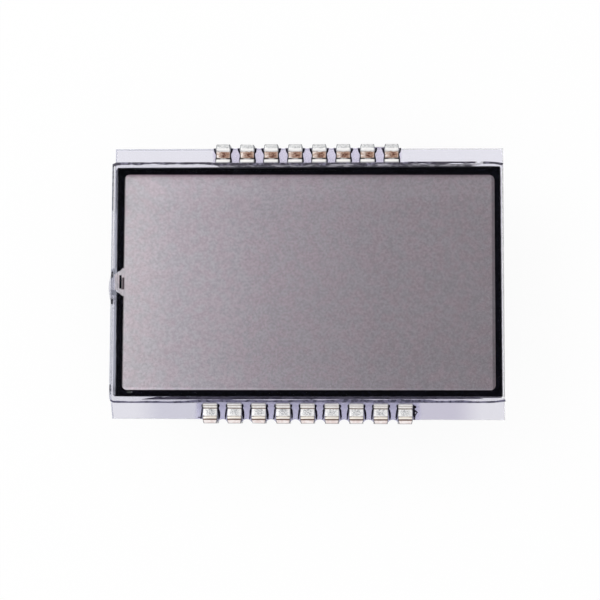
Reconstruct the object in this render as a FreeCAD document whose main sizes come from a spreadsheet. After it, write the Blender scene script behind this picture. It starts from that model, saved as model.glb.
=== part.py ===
# Bare liquid crystal display glass with two rows of clip-on edge pins.
# Frame: it stands on its pin tips at z = 0 with the viewing side up, +X along the
# long side and +Y towards the row of eight pins. The origin lies under the middle
# of the rear glass. All lengths are in millimetres and all angles in degrees.
import FreeCAD, Part
import math
import os
import Sketcher

os.makedirs("parts", exist_ok=True)
doc = FreeCAD.newDocument("lcd_glass")

# Driving dimensions
SIZES = [
    ("glass_width", 41.0, "both glasses, along the long side"),
    ("front_height", 25.05, "front glass, across the short side"),
    ("ledge_depth", 1.75, "rear glass beyond the front glass, at each pin row"),
    ("glass_thickness", 1.1, "each glass"),
    ("cell_gap", 0.01, "between the glasses"),
    ("front_shift_x", -0.15, "front glass off the middle of the rear glass"),
    ("front_shift_y", 0.02, "front glass off the middle of the rear glass"),
    ("edge_lean", 0.15, "left edge of the rear glass, out of square"),
    ("corner_slant", 0.17, "left end of the lower ledge, broken at a slant"),
    ("nick_width", 0.45, "chip in the upper edge of the front glass"),
    ("nick_depth", 0.2, "chip in the upper edge of the front glass"),
    ("nick_inset", 2.5, "middle of the chip, in from the right corner of the front glass"),
    ("nick_skew", 0.045, "deepest point of the chip, to the right of its middle"),
    ("border_left", 1.205, "left edge of the front glass to the window in the seal"),
    ("border_right", 0.845, "right edge of the front glass to the window"),
    ("border_top", 1.185, "upper edge of the front glass to the window"),
    ("border_bottom", 1.285, "lower edge of the front glass to the window"),
    ("window_radius", 0.55, "inside corners of the seal"),
    ("seal_line", 0.75, "width of the printed seal"),
    ("port_mouth", 3.06, "fill port, where it opens into the window"),
    ("port_throat", 1.7, "fill port, between its straight lips"),
    ("port_flare", 0.62, "length over which the port narrows"),
    ("port_round", 1.6, "radius of the lower side of the flare"),
    ("lip_width", 0.55, "seal lips that run out to the glass edge"),
    ("lip_length", 0.3, "seal lips beyond the seal"),
    ("crystal_reach", 0.88, "liquid crystal into the port, from the window"),
    ("outer_pillar_width", 0.24, "seal pillar in the throat"),
    ("outer_pillar_length", 1.43, "seal pillar in the throat"),
    ("outer_pillar_inset", 0.3, "window edge to the middle of the outer pillar"),
    ("inner_pillar_width", 0.13, "thin seal pillar in the mouth"),
    ("inner_pillar_length", 1.26, "thin seal pillar in the mouth"),
    ("inner_pillar_inset", 0.0, "window edge to the middle of the inner pillar"),
    ("pillar_drop", 0.15, "inner pillar below the outer one"),
    ("plug_length", 3.5, "resin plug along the glass edge"),
    ("plug_height", 1.9, "resin plug up the glass edges"),
    ("plug_bulge", 0.38, "resin plug beyond the front glass"),
    ("plug_depth", 0.7, "room for the plug's resin, inward from the front glass's edge"),
    ("plug_drop", 0.57, "middle of the plug below the middle of the glass"),
    ("dot_diameter", 0.6, "conductive dot in the seal"),
    ("dot_inset", 1.3, "window corner to the dot, along the long side"),
    ("film_left", 0.69, "left edge of the front glass to the front film"),
    ("film_right", 0.31, "right edge of the front glass to the front film"),
    ("film_top", 0.525, "upper edge of the front glass to the front film"),
    ("film_bottom", 0.625, "lower edge of the front glass to the front film"),
    ("film_thickness", 0.2, "each polarising film with its adhesive"),
    ("reflector_thickness", 0.08, "reflecting film"),
    ("film_turn", 0.17, "front film, laid on slightly turned"),
    ("pin_pitch", 2.54, "both pin rows"),
    ("upper_pins", 8, "count"),
    ("lower_pins", 9, "count"),
    ("upper_row_shift", -0.13, "upper row off the middle of the glass"),
    ("stock", 0.25, "thickness of the pin strip"),
    ("clip_width", 1.5, "pin at its clip"),
    ("leg_width", 0.5, "pin leg"),
    ("slit", 0.1, "between the leg and each lower finger"),
    ("web_gap", 0.2, "glass edge to the inside of the clip"),
    ("crest_rise", 0.52, "top of the outer bend over the ledge"),
    ("crest_radius", 0.32, "outer bend, at the middle of the strip"),
    ("crest_fall", 38, "slope behind the outer bend"),
    ("jaw_radius", 0.2, "bend behind the crest and at the contact"),
    ("jaw_slope", 7, "slope of the jaw down to its contact"),
    ("contact_inset", 1.12, "glass edge to the contact line of the jaw"),
    ("lip_rise", 58, "slope of the flared lip"),
    ("lip_reach", 1.6, "glass edge to the middle of the lip's end"),
    ("split_depth", 0.75, "start of the slits below the ledge"),
    ("finger_radius", 0.25, "bend of the lower fingers, at the middle of the strip"),
    ("finger_slope", 20, "slope of the fingers up to the rear glass"),
    ("finger_contact", 1.05, "glass edge to the contact line of the fingers"),
    ("finger_fall", 30, "slope of the finger ends"),
    ("finger_reach", 1.4, "glass edge to the middle of a finger's end"),
    ("leg_drop", 6.5, "pin leg below the rear glass"),
    ("tip_length", 0.6, "tapered end of the leg"),
    ("tip_width", 0.26, "tapered end of the leg"),
    ("resin_layer", 0.12, "pin resin on the ledge"),
    ("resin_margin", 1.1, "pin resin beyond the outer pins of a row"),
    ("upper_bank", 0.06, "pin resin beyond the glass edge at the upper row"),
    ("lower_bank", 0.3, "pin resin beyond the glass edge at the lower row"),
    ("resin_skirt", 0.8, "pin resin down the glass edge"),
    ("resin_wick", 0.32, "pin resin up the edge of the front glass"),
    ("resin_foot", 0.3, "foot of the resin at the front glass"),
    ("scallop_radius", 0.62, "hollow in the resin between two pins"),
]

sheet = doc.addObject("Spreadsheet::Sheet", "Sizes")
for row, (alias, size, note) in enumerate(SIZES, start=1):
    sheet.set("A%d" % row, alias)
    sheet.set("B%d" % row, str(size))
    sheet.set("C%d" % row, note)
    sheet.setAlias("B%d" % row, alias)
doc.recompute()


def cells(text):
    """Puts the sheet's name before each of its aliases in an expression."""
    words = {alias for alias, _, _ in SIZES}
    out = ""
    word = ""
    for letter in text + " ":
        if letter.isalnum() or letter == "_":
            word += letter
            continue
        out += "Sizes." + word if word in words else word
        out += letter
        word = ""
    return out.strip()


def amount(text):
    """The present value of an expression, for a sketch's first guess."""
    result = sheet.evalExpression(cells(text))
    return float(getattr(result, "Value", result))


# Levels of the stack, from the pin tips up
REAR_BACK = "leg_drop"
LEDGE = "(leg_drop + glass_thickness)"
FRONT_BACK = "(leg_drop + glass_thickness + cell_gap)"
FRONT_FACE = "(leg_drop + 2 * glass_thickness + cell_gap)"

# Outlines that several pieces share
REAR_HALF = "(front_height / 2 + ledge_depth)"
WINDOW_WIDTH = "(glass_width - border_left - border_right)"
WINDOW_HEIGHT = "(front_height - border_top - border_bottom)"
WINDOW_SIDE = "(%s / 2)" % WINDOW_WIDTH
WINDOW_X = "(front_shift_x + (border_left - border_right) / 2)"
WINDOW_Y = "(front_shift_y + (border_bottom - border_top) / 2)"
FILM_WIDTH = "(glass_width - film_left - film_right)"
FILM_HEIGHT = "(front_height - film_top - film_bottom)"


def new_body(name):
    body = doc.addObject("PartDesign::Body", name)
    body.Label = name
    return body


def place(thing, x="0", y="0", z="0", turn=None):
    """Binds a piece's place to the sheet; turn is about +Z."""
    for axis, text in (("x", x), ("y", y), ("z", z)):
        thing.setExpression("Placement.Base." + axis, cells(text))
    if turn is not None:
        thing.Placement.Rotation = FreeCAD.Rotation(FreeCAD.Vector(0, 0, 1), 1)
        thing.setExpression("Placement.Rotation.Angle", cells(turn))


def new_sketch(body, name, plane="XY_Plane", offset=None):
    """A sketch on one of the body's own planes, lifted off it by offset."""
    sketch = body.newObject("Sketcher::SketchObject", name)
    for feature in body.Origin.OriginFeatures:
        if feature.Role == plane:
            sketch.AttachmentSupport = [(feature, "")]
    sketch.MapMode = "FlatFace"
    if offset is not None:
        sketch.setExpression("AttachmentOffset.Base.z", cells(offset))
    return sketch


def dimension(sketch, kind, geometry, text):
    """Adds a constraint whose value follows the sheet."""
    if kind == "Angle":
        first_guess = math.radians(amount(text))
        index = sketch.addConstraint(Sketcher.Constraint(kind, *geometry, first_guess))
        sketch.setExpression("Constraints[%d]" % index, "(%s) * 1 deg" % cells(text))
        return
    index = sketch.addConstraint(Sketcher.Constraint(kind, *geometry, amount(text)))
    sketch.setExpression("Constraints[%d]" % index, cells(text))


def pin_down(sketch, geometry, point, x=None, y=None):
    """Sets a point's distances from the sketch's origin."""
    if x is not None:
        dimension(sketch, "DistanceX", (-1, 1, geometry, point), x)
    if y is not None:
        dimension(sketch, "DistanceY", (-1, 1, geometry, point), y)


def outline(sketch, corners):
    """A closed outline of straight lines through corners, each a pair of expressions."""
    points = [FreeCAD.Vector(amount(x), amount(y), 0) for x, y in corners]
    count = len(points)
    first = sketch.GeometryCount
    for n in range(count):
        sketch.addGeometry(Part.LineSegment(points[n], points[(n + 1) % count]), False)
    for n in range(count):
        following = first + (n + 1) % count
        sketch.addConstraint(Sketcher.Constraint("Coincident", first + n, 2, following, 1))
    for n, (x, y) in enumerate(corners):
        pin_down(sketch, first + n, 1, x, y)
    return first


def rectangle(sketch, width, height, x="0", y="0"):
    """A rectangle about the point x, y."""
    left = "%s - (%s) / 2" % (x, width)
    right = "%s + (%s) / 2" % (x, width)
    low = "%s - (%s) / 2" % (y, height)
    high = "%s + (%s) / 2" % (y, height)
    return outline(sketch, [(left, low), (right, low), (right, high), (left, high)])


def add_arc(sketch, centre, radius, start, finish, left):
    """An arc from start to finish, turning left or right. It returns which of its ends
    is at start and which at finish, because a sketch keeps every arc anticlockwise."""
    first, last = (start, finish) if left else (finish, start)
    low = math.atan2(first.y - centre.y, first.x - centre.x)
    high = math.atan2(last.y - centre.y, last.x - centre.x)
    if high < low:
        high += 2 * math.pi
    circle = Part.Circle(centre, FreeCAD.Vector(0, 0, 1), radius)
    sketch.addGeometry(Part.ArcOfCircle(circle, low, high), False)
    return (1, 2) if left else (2, 1)


def rounded_rectangle(sketch, width, height, radius):
    """A rectangle about the origin with round corners."""
    half_x = amount(width) / 2
    half_y = amount(height) / 2
    round_by = amount(radius)
    sides = [
        ((-half_x + round_by, -half_y), (half_x - round_by, -half_y)),
        ((half_x, -half_y + round_by), (half_x, half_y - round_by)),
        ((half_x - round_by, half_y), (-half_x + round_by, half_y)),
        ((-half_x, half_y - round_by), (-half_x, -half_y + round_by)),
    ]
    for start, end in sides:
        sketch.addGeometry(
            Part.LineSegment(FreeCAD.Vector(*start, 0), FreeCAD.Vector(*end, 0)), False
        )
    quarter = math.pi / 2
    centres = [(1, -1), (1, 1), (-1, 1), (-1, -1)]
    for n, (side_x, side_y) in enumerate(centres):
        centre = FreeCAD.Vector(side_x * (half_x - round_by), side_y * (half_y - round_by), 0)
        circle = Part.Circle(centre, FreeCAD.Vector(0, 0, 1), round_by)
        sketch.addGeometry(Part.ArcOfCircle(circle, (n - 1) * quarter, n * quarter), False)
    for n in range(4):
        sketch.addConstraint(Sketcher.Constraint("Tangent", n, 2, 4 + n, 1))
        sketch.addConstraint(Sketcher.Constraint("Tangent", 4 + n, 2, (n + 1) % 4, 1))
    sketch.addConstraint(Sketcher.Constraint("Horizontal", 0))
    sketch.addConstraint(Sketcher.Constraint("Vertical", 1))
    sketch.addConstraint(Sketcher.Constraint("Horizontal", 2))
    for n in range(1, 4):
        sketch.addConstraint(Sketcher.Constraint("Equal", 4, 4 + n))
    dimension(sketch, "Radius", (4,), radius)
    pin_down(sketch, 0, 1, y="-(%s) / 2" % height)
    pin_down(sketch, 2, 1, y="(%s) / 2" % height)
    pin_down(sketch, 1, 1, x="(%s) / 2" % width)
    pin_down(sketch, 3, 1, x="-(%s) / 2" % width)


def extruded(body, kind, sketch, length, both_ways=False, back=False):
    """A Pad or Pocket of a sketch; back turns it round."""
    feature = body.newObject("PartDesign::" + kind, sketch.Name + "_" + kind.lower())
    feature.Profile = sketch
    feature.setExpression("Length", cells(length))
    if both_ways:
        feature.SideType = "Symmetric"
    feature.Reversed = back
    sketch.Visibility = False
    return feature


def cut_through(body, sketch):
    """A Pocket that leaves nothing of the sketch's outline, on either side of it."""
    feature = body.newObject("PartDesign::Pocket", sketch.Name + "_pocket")
    feature.Profile = sketch
    feature.Type = "ThroughAll"
    feature.SideType = "Symmetric"
    return feature


# Rear glass: the lower plate, scribed and broken, longer than the front one at both
# pin rows. Its left edge leans and the left end of its lower ledge broke at a slant.
rear_glass = new_body("rear_glass")
plan = new_sketch(rear_glass, "rear_glass_plan")
GLASS_SIDE = "glass_width / 2"
outline(
    plan,
    [
        ("-(%s) - edge_lean + corner_slant" % GLASS_SIDE, "-%s" % REAR_HALF),
        (GLASS_SIDE, "-%s" % REAR_HALF),
        (GLASS_SIDE, REAR_HALF),
        ("-(%s)" % GLASS_SIDE, REAR_HALF),
        ("-(%s) - edge_lean" % GLASS_SIDE, "-front_height / 2"),
    ],
)
extruded(rear_glass, "Pad", plan, "glass_thickness")
place(rear_glass, z=REAR_BACK)

# Front glass: a plain plate with one shell-shaped chip in its upper edge.
front_glass = new_body("front_glass")
plan = new_sketch(front_glass, "front_glass_plan")
rectangle(plan, "glass_width", "front_height")
extruded(front_glass, "Pad", plan, "glass_thickness")
chip = new_sketch(front_glass, "front_glass_chip")
NICK = "(glass_width / 2 - nick_inset)"
outline(
    chip,
    [
        (NICK + " - nick_width / 2", "front_height / 2"),
        (NICK + " + nick_skew", "front_height / 2 - nick_depth"),
        (NICK + " + nick_width / 2", "front_height / 2"),
        (NICK, "front_height / 2 + nick_depth"),
    ],
)
cut_through(front_glass, chip)
place(front_glass, "front_shift_x", "front_shift_y", FRONT_BACK)


def window_plan(body, name):
    sketch = new_sketch(body, name)
    rounded_rectangle(sketch, WINDOW_WIDTH, WINDOW_HEIGHT, "window_radius")
    return sketch


def port_plan(body, name, reach):
    """The fill port: it narrows from the window to a straight throat that ends at
    reach. The upper side of the flare is straight and the lower side is round."""
    sketch = new_sketch(body, name)
    inside = "-%s + seal_line / 2" % WINDOW_SIDE
    mouth = "-%s" % WINDOW_SIDE
    throat = "-%s - port_flare" % WINDOW_SIDE
    end = "-%s - %s" % (WINDOW_SIDE, reach)
    corners = [
        (inside, "-port_mouth / 2"),
        (inside, "port_mouth / 2"),
        (mouth, "port_mouth / 2"),
        (throat, "port_throat / 2"),
        (end, "port_throat / 2"),
        (end, "-port_throat / 2"),
        (throat, "-port_throat / 2"),
        (mouth, "-port_mouth / 2"),
    ]
    points = [FreeCAD.Vector(amount(x), amount(y), 0) for x, y in corners]
    for n in range(6):
        sketch.addGeometry(Part.LineSegment(points[n], points[n + 1]), False)
    start = points[6]
    finish = points[7]
    chord = finish - start
    radius = amount("port_round")
    rise = math.sqrt(radius**2 - (chord.Length / 2) ** 2)
    to_left = FreeCAD.Vector(-chord.y, chord.x, 0).normalize()
    centre = (start + finish) * 0.5 + to_left * rise
    near, far = add_arc(sketch, centre, radius, start, finish, True)
    sketch.addGeometry(Part.LineSegment(points[7], points[0]), False)
    for n in range(5):
        sketch.addConstraint(Sketcher.Constraint("Coincident", n, 2, n + 1, 1))
    sketch.addConstraint(Sketcher.Constraint("Coincident", 5, 2, 6, near))
    sketch.addConstraint(Sketcher.Constraint("Coincident", 6, far, 7, 1))
    sketch.addConstraint(Sketcher.Constraint("Coincident", 7, 2, 0, 1))
    ends = [(n, 1) for n in range(6)] + [(5, 2), (7, 1)]
    for (geometry, point), (x, y) in zip(ends, corners):
        pin_down(sketch, geometry, point, x, y)
    dimension(sketch, "Radius", (6,), "port_round")
    return sketch


def pillar_plan(body, name):
    sketch = new_sketch(body, name)
    rectangle(
        sketch,
        "outer_pillar_width",
        "outer_pillar_length",
        "-%s - outer_pillar_inset" % WINDOW_SIDE,
    )
    rectangle(
        sketch,
        "inner_pillar_width",
        "inner_pillar_length",
        "-%s - inner_pillar_inset" % WINDOW_SIDE,
        "-pillar_drop",
    )
    return sketch


def dot_plan(body, name):
    """Two round dots in the line of the seal, at opposite corners."""
    sketch = new_sketch(body, name)
    across = "(%s - dot_inset)" % WINDOW_SIDE
    along = "(%s / 2 + seal_line / 2)" % WINDOW_HEIGHT
    for n, (x, y) in enumerate((("-%s" % across, "-%s" % along), (across, along))):
        centre = FreeCAD.Vector(amount(x), amount(y), 0)
        radius = amount("dot_diameter / 2")
        sketch.addGeometry(Part.Circle(centre, FreeCAD.Vector(0, 0, 1), radius), False)
        dimension(sketch, "Radius", (n,), "dot_diameter / 2")
        pin_down(sketch, n, 3, x, y)
    return sketch


# Perimeter seal: one printed line of epoxy between the glasses, with two lips that
# lead the fill port out to the left edge, two pillars in the port, and room for
# the dots.
seal = new_body("perimeter_seal")
rim = new_sketch(seal, "seal_rim")
rounded_rectangle(
    rim,
    WINDOW_WIDTH + " + 2 * seal_line",
    WINDOW_HEIGHT + " + 2 * seal_line",
    "window_radius + seal_line",
)
extruded(seal, "Pad", rim, "cell_gap")
lips = new_sketch(seal, "seal_lips")
LIP_RUN = "(seal_line / 2 + lip_length)"
rectangle(
    lips,
    LIP_RUN,
    "port_throat + 2 * lip_width",
    "-%s - seal_line / 2 - %s / 2" % (WINDOW_SIDE, LIP_RUN),
)
extruded(seal, "Pad", lips, "cell_gap")
cut_through(seal, window_plan(seal, "seal_window"))
cut_through(seal, port_plan(seal, "seal_port", "(seal_line + 2 * lip_length)"))
cut_through(seal, dot_plan(seal, "seal_dots"))
extruded(seal, "Pad", pillar_plan(seal, "seal_pillars"), "cell_gap")
place(seal, WINDOW_X, WINDOW_Y, LEDGE)

# Liquid crystal: it fills the window and the port as far as the plug, round the
# pillars.
crystal = new_body("liquid_crystal")
extruded(crystal, "Pad", window_plan(crystal, "crystal_window"), "cell_gap")
port = port_plan(crystal, "crystal_port", "crystal_reach")
extruded(crystal, "Pad", port, "cell_gap")
cut_through(crystal, pillar_plan(crystal, "crystal_pillars"))
place(crystal, WINDOW_X, WINDOW_Y, LEDGE)

# Transfer dots: conductive dabs that join the two glasses' electrodes.
dots = new_body("common_transfer_dots")
extruded(dots, "Pad", dot_plan(dots, "dots_plan"), "cell_gap")
place(dots, WINDOW_X, WINDOW_Y, LEDGE)


def film(name, thickness):
    """A sheet cut to the size that the polarising films and the reflector share."""
    body = new_body(name)
    plan = new_sketch(body, name + "_plan")
    rectangle(plan, FILM_WIDTH, FILM_HEIGHT)
    extruded(body, "Pad", plan, thickness)
    return body


# Films: a polariser on each outer face, and the reflector behind the rear one.
place(
    film("front_polariser", "film_thickness"),
    "front_shift_x + (film_left - film_right) / 2",
    "front_shift_y + (film_bottom - film_top) / 2",
    FRONT_FACE,
    "film_turn",
)
place(film("rear_polariser", "film_thickness"), z=REAR_BACK + " - film_thickness")
place(
    film("rear_reflector", "reflector_thickness"),
    z=REAR_BACK + " - film_thickness - reflector_thickness",
)

# Fill port plug: a dab of clear resin on the left edges of both glasses, which has
# crept between them as far as the liquid crystal. Its face is rounded both along the
# edge and up it, so its profile is turned about an upright axis inside the glass.
RING_ROUND = "(((plug_length / 2) ^ 2 + plug_bulge ^ 2) / (2 * plug_bulge))"
TUBE_ROUND = "(((plug_height / 2) ^ 2 + plug_bulge ^ 2) / (2 * plug_bulge))"
FRONT_LEFT = "(front_shift_x - glass_width / 2)"
plug = new_body("plug_dab")
profile = new_sketch(plug, "plug_profile", "XZ_Plane")
edge = "-%s + plug_bulge" % RING_ROUND
corners = [
    (edge + " + plug_depth", "-plug_height / 2"),
    (edge, "-plug_height / 2"),
    (edge, "plug_height / 2"),
    (edge + " + plug_depth", "plug_height / 2"),
]
points = [FreeCAD.Vector(amount(x), amount(y), 0) for x, y in corners]
centre = FreeCAD.Vector(amount("%s - %s" % (TUBE_ROUND, RING_ROUND)), 0, 0)
profile.addGeometry(Part.LineSegment(points[0], points[1]), False)
near, far = add_arc(profile, centre, amount(TUBE_ROUND), points[1], points[2], False)
profile.addGeometry(Part.LineSegment(points[2], points[3]), False)
profile.addGeometry(Part.LineSegment(points[3], points[0]), False)
profile.addConstraint(Sketcher.Constraint("Coincident", 0, 2, 1, near))
profile.addConstraint(Sketcher.Constraint("Coincident", 1, far, 2, 1))
profile.addConstraint(Sketcher.Constraint("Coincident", 2, 2, 3, 1))
profile.addConstraint(Sketcher.Constraint("Coincident", 3, 2, 0, 1))
for (geometry, point), (x, y) in zip(((0, 1), (0, 2), (2, 1), (2, 2)), corners):
    pin_down(profile, geometry, point, x, y)
dimension(profile, "Radius", (1,), TUBE_ROUND)
turned = plug.newObject("PartDesign::Revolution", "plug_turned")
turned.Profile = profile
turned.ReferenceAxis = (profile, ["V_Axis"])
turned.Midplane = True
turned.setExpression("Angle", cells("2 * acos(1 - plug_bulge / %s)" % RING_ROUND))
place(
    plug,
    "%s - plug_bulge + %s" % (FRONT_LEFT, RING_ROUND),
    "-plug_drop",
    LEDGE + " + cell_gap / 2",
)
for neighbour in (front_glass, rear_glass, seal, crystal):
    cut = doc.addObject("Part::Cut", "plug_clear_of_" + neighbour.Name)
    cut.Base = plug
    cut.Tool = neighbour
    plug = cut
plug.Label = "fill_port_plug"


# Pins. Each is drawn about its own origin at the glass edge, level with the ledge:
# x along the row, y inward over the ledge and z up.
WEB = "(web_gap + stock / 2)"


def strip_path(sketch, corners, radii):
    """The middle line of a bent strip: straight runs through corners, joined by
    tangent arcs. corners are pairs of numbers, radii are names of sheet values."""
    points = [FreeCAD.Vector(x, y, 0) for x, y in corners]
    start = points[0]
    ends = []
    for n, name in enumerate(radii, start=1):
        back = (points[n - 1] - points[n]).normalize()
        ahead = (points[n + 1] - points[n]).normalize()
        half = back.getAngle(ahead) / 2
        radius = amount(name)
        enter = points[n] + back * (radius / math.tan(half))
        leave = points[n] + ahead * (radius / math.tan(half))
        centre = points[n] + (back + ahead).normalize() * (radius / math.sin(half))
        left = ahead.cross(back).z > 0
        sketch.addGeometry(Part.LineSegment(start, enter), False)
        ends.append(add_arc(sketch, centre, radius, enter, leave, left))
        start = leave
    sketch.addGeometry(Part.LineSegment(start, points[-1]), False)
    for n, (near, far) in enumerate(ends):
        arc = 2 * n + 1
        sketch.addConstraint(Sketcher.Constraint("Tangent", arc - 1, 2, arc, near))
        sketch.addConstraint(Sketcher.Constraint("Tangent", arc, far, arc + 1, 1))
        dimension(sketch, "Radius", (arc,), radii[n])
    return sketch


def meet(point_a, slope_a, point_b, slope_b):
    """Where two lines cross, each given by a point and a slope in degrees."""
    ax, ay = point_a
    bx, by = point_b
    ux, uy = math.cos(math.radians(slope_a)), math.sin(math.radians(slope_a))
    vx, vy = math.cos(math.radians(slope_b)), math.sin(math.radians(slope_b))
    along = ((bx - ax) * vy - (by - ay) * vx) / (ux * vy - uy * vx)
    return ax + along * ux, ay + along * uy


def beside(centre, radius, slope, side):
    """The point of a circle where a line of this slope touches it."""
    angle = math.radians(slope)
    return centre[0] - side * radius * math.sin(angle), centre[1] + side * radius * math.cos(angle)


def jaw_path(body, name):
    """From the web up, over the outer bend, down to the contact and up the lip."""
    sketch = new_sketch(body, name, "YZ_Plane")
    web = -amount(WEB)
    foot = (web, -amount("split_depth"))
    crest = (web + amount("crest_radius"), amount("crest_rise - stock / 2 - crest_radius"))
    contact = (amount("contact_inset"), amount("stock / 2 + jaw_radius"))
    fall = -amount("crest_fall")
    slope = -amount("jaw_slope")
    rise = amount("lip_rise")
    behind_crest = beside(crest, amount("crest_radius"), fall, 1)
    before_contact = beside(contact, amount("jaw_radius"), slope, -1)
    behind_contact = beside(contact, amount("jaw_radius"), rise, -1)
    corner_1 = meet(foot, 90, behind_crest, fall)
    corner_2 = meet(behind_crest, fall, before_contact, slope)
    corner_3 = meet(before_contact, slope, behind_contact, rise)
    end = meet(behind_contact, rise, (amount("lip_reach"), 0), 90)
    strip_path(
        sketch,
        [foot, corner_1, corner_2, corner_3, end],
        ["crest_radius", "jaw_radius", "jaw_radius"],
    )
    sketch.addConstraint(Sketcher.Constraint("Vertical", 0))
    pin_down(sketch, 0, 1, "-%s" % WEB, "-split_depth")
    pin_down(sketch, 1, 3, y="crest_rise - stock / 2 - crest_radius")
    dimension(sketch, "Angle", (2,), "-crest_fall")
    dimension(sketch, "Angle", (4,), "-jaw_slope")
    pin_down(sketch, 5, 3, "contact_inset", "stock / 2 + jaw_radius")
    dimension(sketch, "Angle", (6,), "lip_rise")
    pin_down(sketch, 6, 2, x="lip_reach")
    return sketch


def finger_path(body, name):
    """From the web down, round under the rear glass, up to it and away again."""
    offset = "leg_width / 2 + slit + %s / 2" % FINGER
    sketch = new_sketch(body, name, "YZ_Plane", offset)
    web = -amount(WEB)
    top = (web, -amount("split_depth"))
    contact = (amount("finger_contact"), -amount("glass_thickness + stock / 2 + jaw_radius"))
    slope = amount("finger_slope")
    fall = -amount("finger_fall")
    before_contact = beside(contact, amount("jaw_radius"), slope, 1)
    behind_contact = beside(contact, amount("jaw_radius"), fall, 1)
    corner_1 = meet(top, 90, before_contact, slope)
    corner_2 = meet(before_contact, slope, behind_contact, fall)
    end = meet(behind_contact, fall, (amount("finger_reach"), 0), 90)
    strip_path(sketch, [top, corner_1, corner_2, end], ["finger_radius", "jaw_radius"])
    sketch.addConstraint(Sketcher.Constraint("Vertical", 0))
    pin_down(sketch, 0, 1, "-%s" % WEB, "-split_depth")
    dimension(sketch, "Angle", (2,), "finger_slope")
    pin_down(sketch, 3, 3, "finger_contact", "-glass_thickness - stock / 2 - jaw_radius")
    dimension(sketch, "Angle", (4,), "-finger_fall")
    pin_down(sketch, 4, 2, x="finger_reach")
    return sketch


FINGER = "(clip_width / 2 - leg_width / 2 - slit)"


def swept(body, name, section, path):
    """Carries a strip's section along its path."""
    feature = body.newObject("PartDesign::AdditivePipe", name)
    feature.Profile = section
    feature.Spine = (path, ["Edge%d" % (n + 1) for n in range(path.GeometryCount)])
    section.Visibility = False
    path.Visibility = False
    return feature


def section_at(body, name, width, x):
    """The strip's section across the web, where the slits begin."""
    sketch = new_sketch(body, name, "XY_Plane", "-split_depth")
    rectangle(sketch, width, "stock", x, "-%s" % WEB)
    return sketch


def pin(name):
    """A stamped and bent clip: a full-width jaw with a flared lip over the ledge, two
    narrow fingers under the rear glass, and a leg that goes straight down."""
    body = new_body(name)
    # Jaw
    section = section_at(body, name + "_jaw_section", "clip_width", "0")
    swept(body, name + "_jaw", section, jaw_path(body, name + "_jaw_path"))
    # Leg
    leg = new_sketch(body, name + "_leg_plan", "XZ_Plane", WEB)
    low = "-glass_thickness - leg_drop"
    outline(
        leg,
        [
            ("-leg_width / 2", "-split_depth"),
            ("-leg_width / 2", low + " + tip_length"),
            ("-tip_width / 2", low),
            ("tip_width / 2", low),
            ("leg_width / 2", low + " + tip_length"),
            ("leg_width / 2", "-split_depth"),
        ],
    )
    extruded(body, "Pad", leg, "stock", both_ways=True)
    # Fingers
    offset = "leg_width / 2 + slit + %s / 2" % FINGER
    section = section_at(body, name + "_finger_section", FINGER, offset)
    finger = swept(body, name + "_finger", section, finger_path(body, name + "_finger_path"))
    other = body.newObject("PartDesign::Mirrored", name + "_other_finger")
    other.Originals = [finger]
    for feature in body.Origin.OriginFeatures:
        if feature.Role == "YZ_Plane":
            other.MirrorPlane = (feature, [""])
    body.Tip = other
    return body


def resin(name, pins, count, shift, side, bank_depth):
    """Clear resin over one row: a thin layer on the ledge, a foot up the edge of the
    front glass, and a bank at the glass edge with a hollow between each two pins.
    side is 1 at the upper row and -1 at the lower one."""
    body = new_body(name + "_bead")
    length = "((%s - 1) * pin_pitch + clip_width + 2 * resin_margin)" % count
    layer = new_sketch(body, name + "_layer")
    depth = "(ledge_depth - %d * front_shift_y)" % side
    rectangle(layer, length, depth, y="%s / 2" % depth)
    extruded(body, "Pad", layer, "resin_layer")
    bank = new_sketch(body, name + "_bank", offset="resin_layer")
    rectangle(bank, length, bank_depth, y="-%s / 2" % bank_depth)
    extruded(body, "Pad", bank, "resin_layer + resin_skirt", back=True)
    hollow = new_sketch(body, name + "_hollow", offset="resin_layer")
    across = "-(%s - 2) / 2 * pin_pitch" % count
    centre = FreeCAD.Vector(amount(across), -amount("scallop_radius"), 0)
    circle = Part.Circle(centre, FreeCAD.Vector(0, 0, 1), amount("scallop_radius"))
    hollow.addGeometry(circle, False)
    dimension(hollow, "Radius", (0,), "scallop_radius")
    pin_down(hollow, 0, 3, across, "-scallop_radius")
    scallop = cut_through(body, hollow)
    row = body.newObject("PartDesign::LinearPattern", name + "_hollows")
    row.Originals = [scallop]
    row.Direction = (hollow, ["H_Axis"])
    row.setExpression("Length", cells("(%s - 2) * pin_pitch" % count))
    row.setExpression("Occurrences", cells("%s - 1" % count))
    body.Tip = row
    foot = new_sketch(body, name + "_foot", "YZ_Plane")
    outline(
        foot,
        [
            (depth, "resin_layer"),
            (depth, "resin_wick"),
            (depth + " - resin_foot", "resin_layer"),
        ],
    )
    extruded(body, "Pad", foot, length, both_ways=True)
    turn = "180" if side > 0 else "0"
    place(body, shift, "%d * %s" % (side, REAR_HALF), LEDGE, turn)
    bead = body
    for n, clip in enumerate(pins, start=1):
        cut = doc.addObject("Part::Cut", "%s_cut_%d" % (name, n))
        cut.Base = bead
        cut.Tool = clip
        bead = cut
    bead.Label = name
    return bead


def pin_row(side_name, count, shift, side):
    """One row of pins with its resin; side is 1 at the upper row."""
    pins = []
    for n in range(int(amount(count))):
        clip = pin("%s_pin_%d" % (side_name, n + 1))
        turn = "180" if side > 0 else "0"
        along = "%s + (%d - (%s - 1) / 2) * pin_pitch" % (shift, n, count)
        place(clip, along, "%d * %s" % (side, REAR_HALF), LEDGE, turn)
        pins.append(clip)
    name = side_name + "_pin_adhesive"
    return pins, resin(name, pins, count, shift, side, side_name + "_bank")


upper_pins, upper_resin = pin_row("upper", "upper_pins", "upper_row_shift", 1)
lower_pins, lower_resin = pin_row("lower", "lower_pins", "0", -1)

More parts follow.
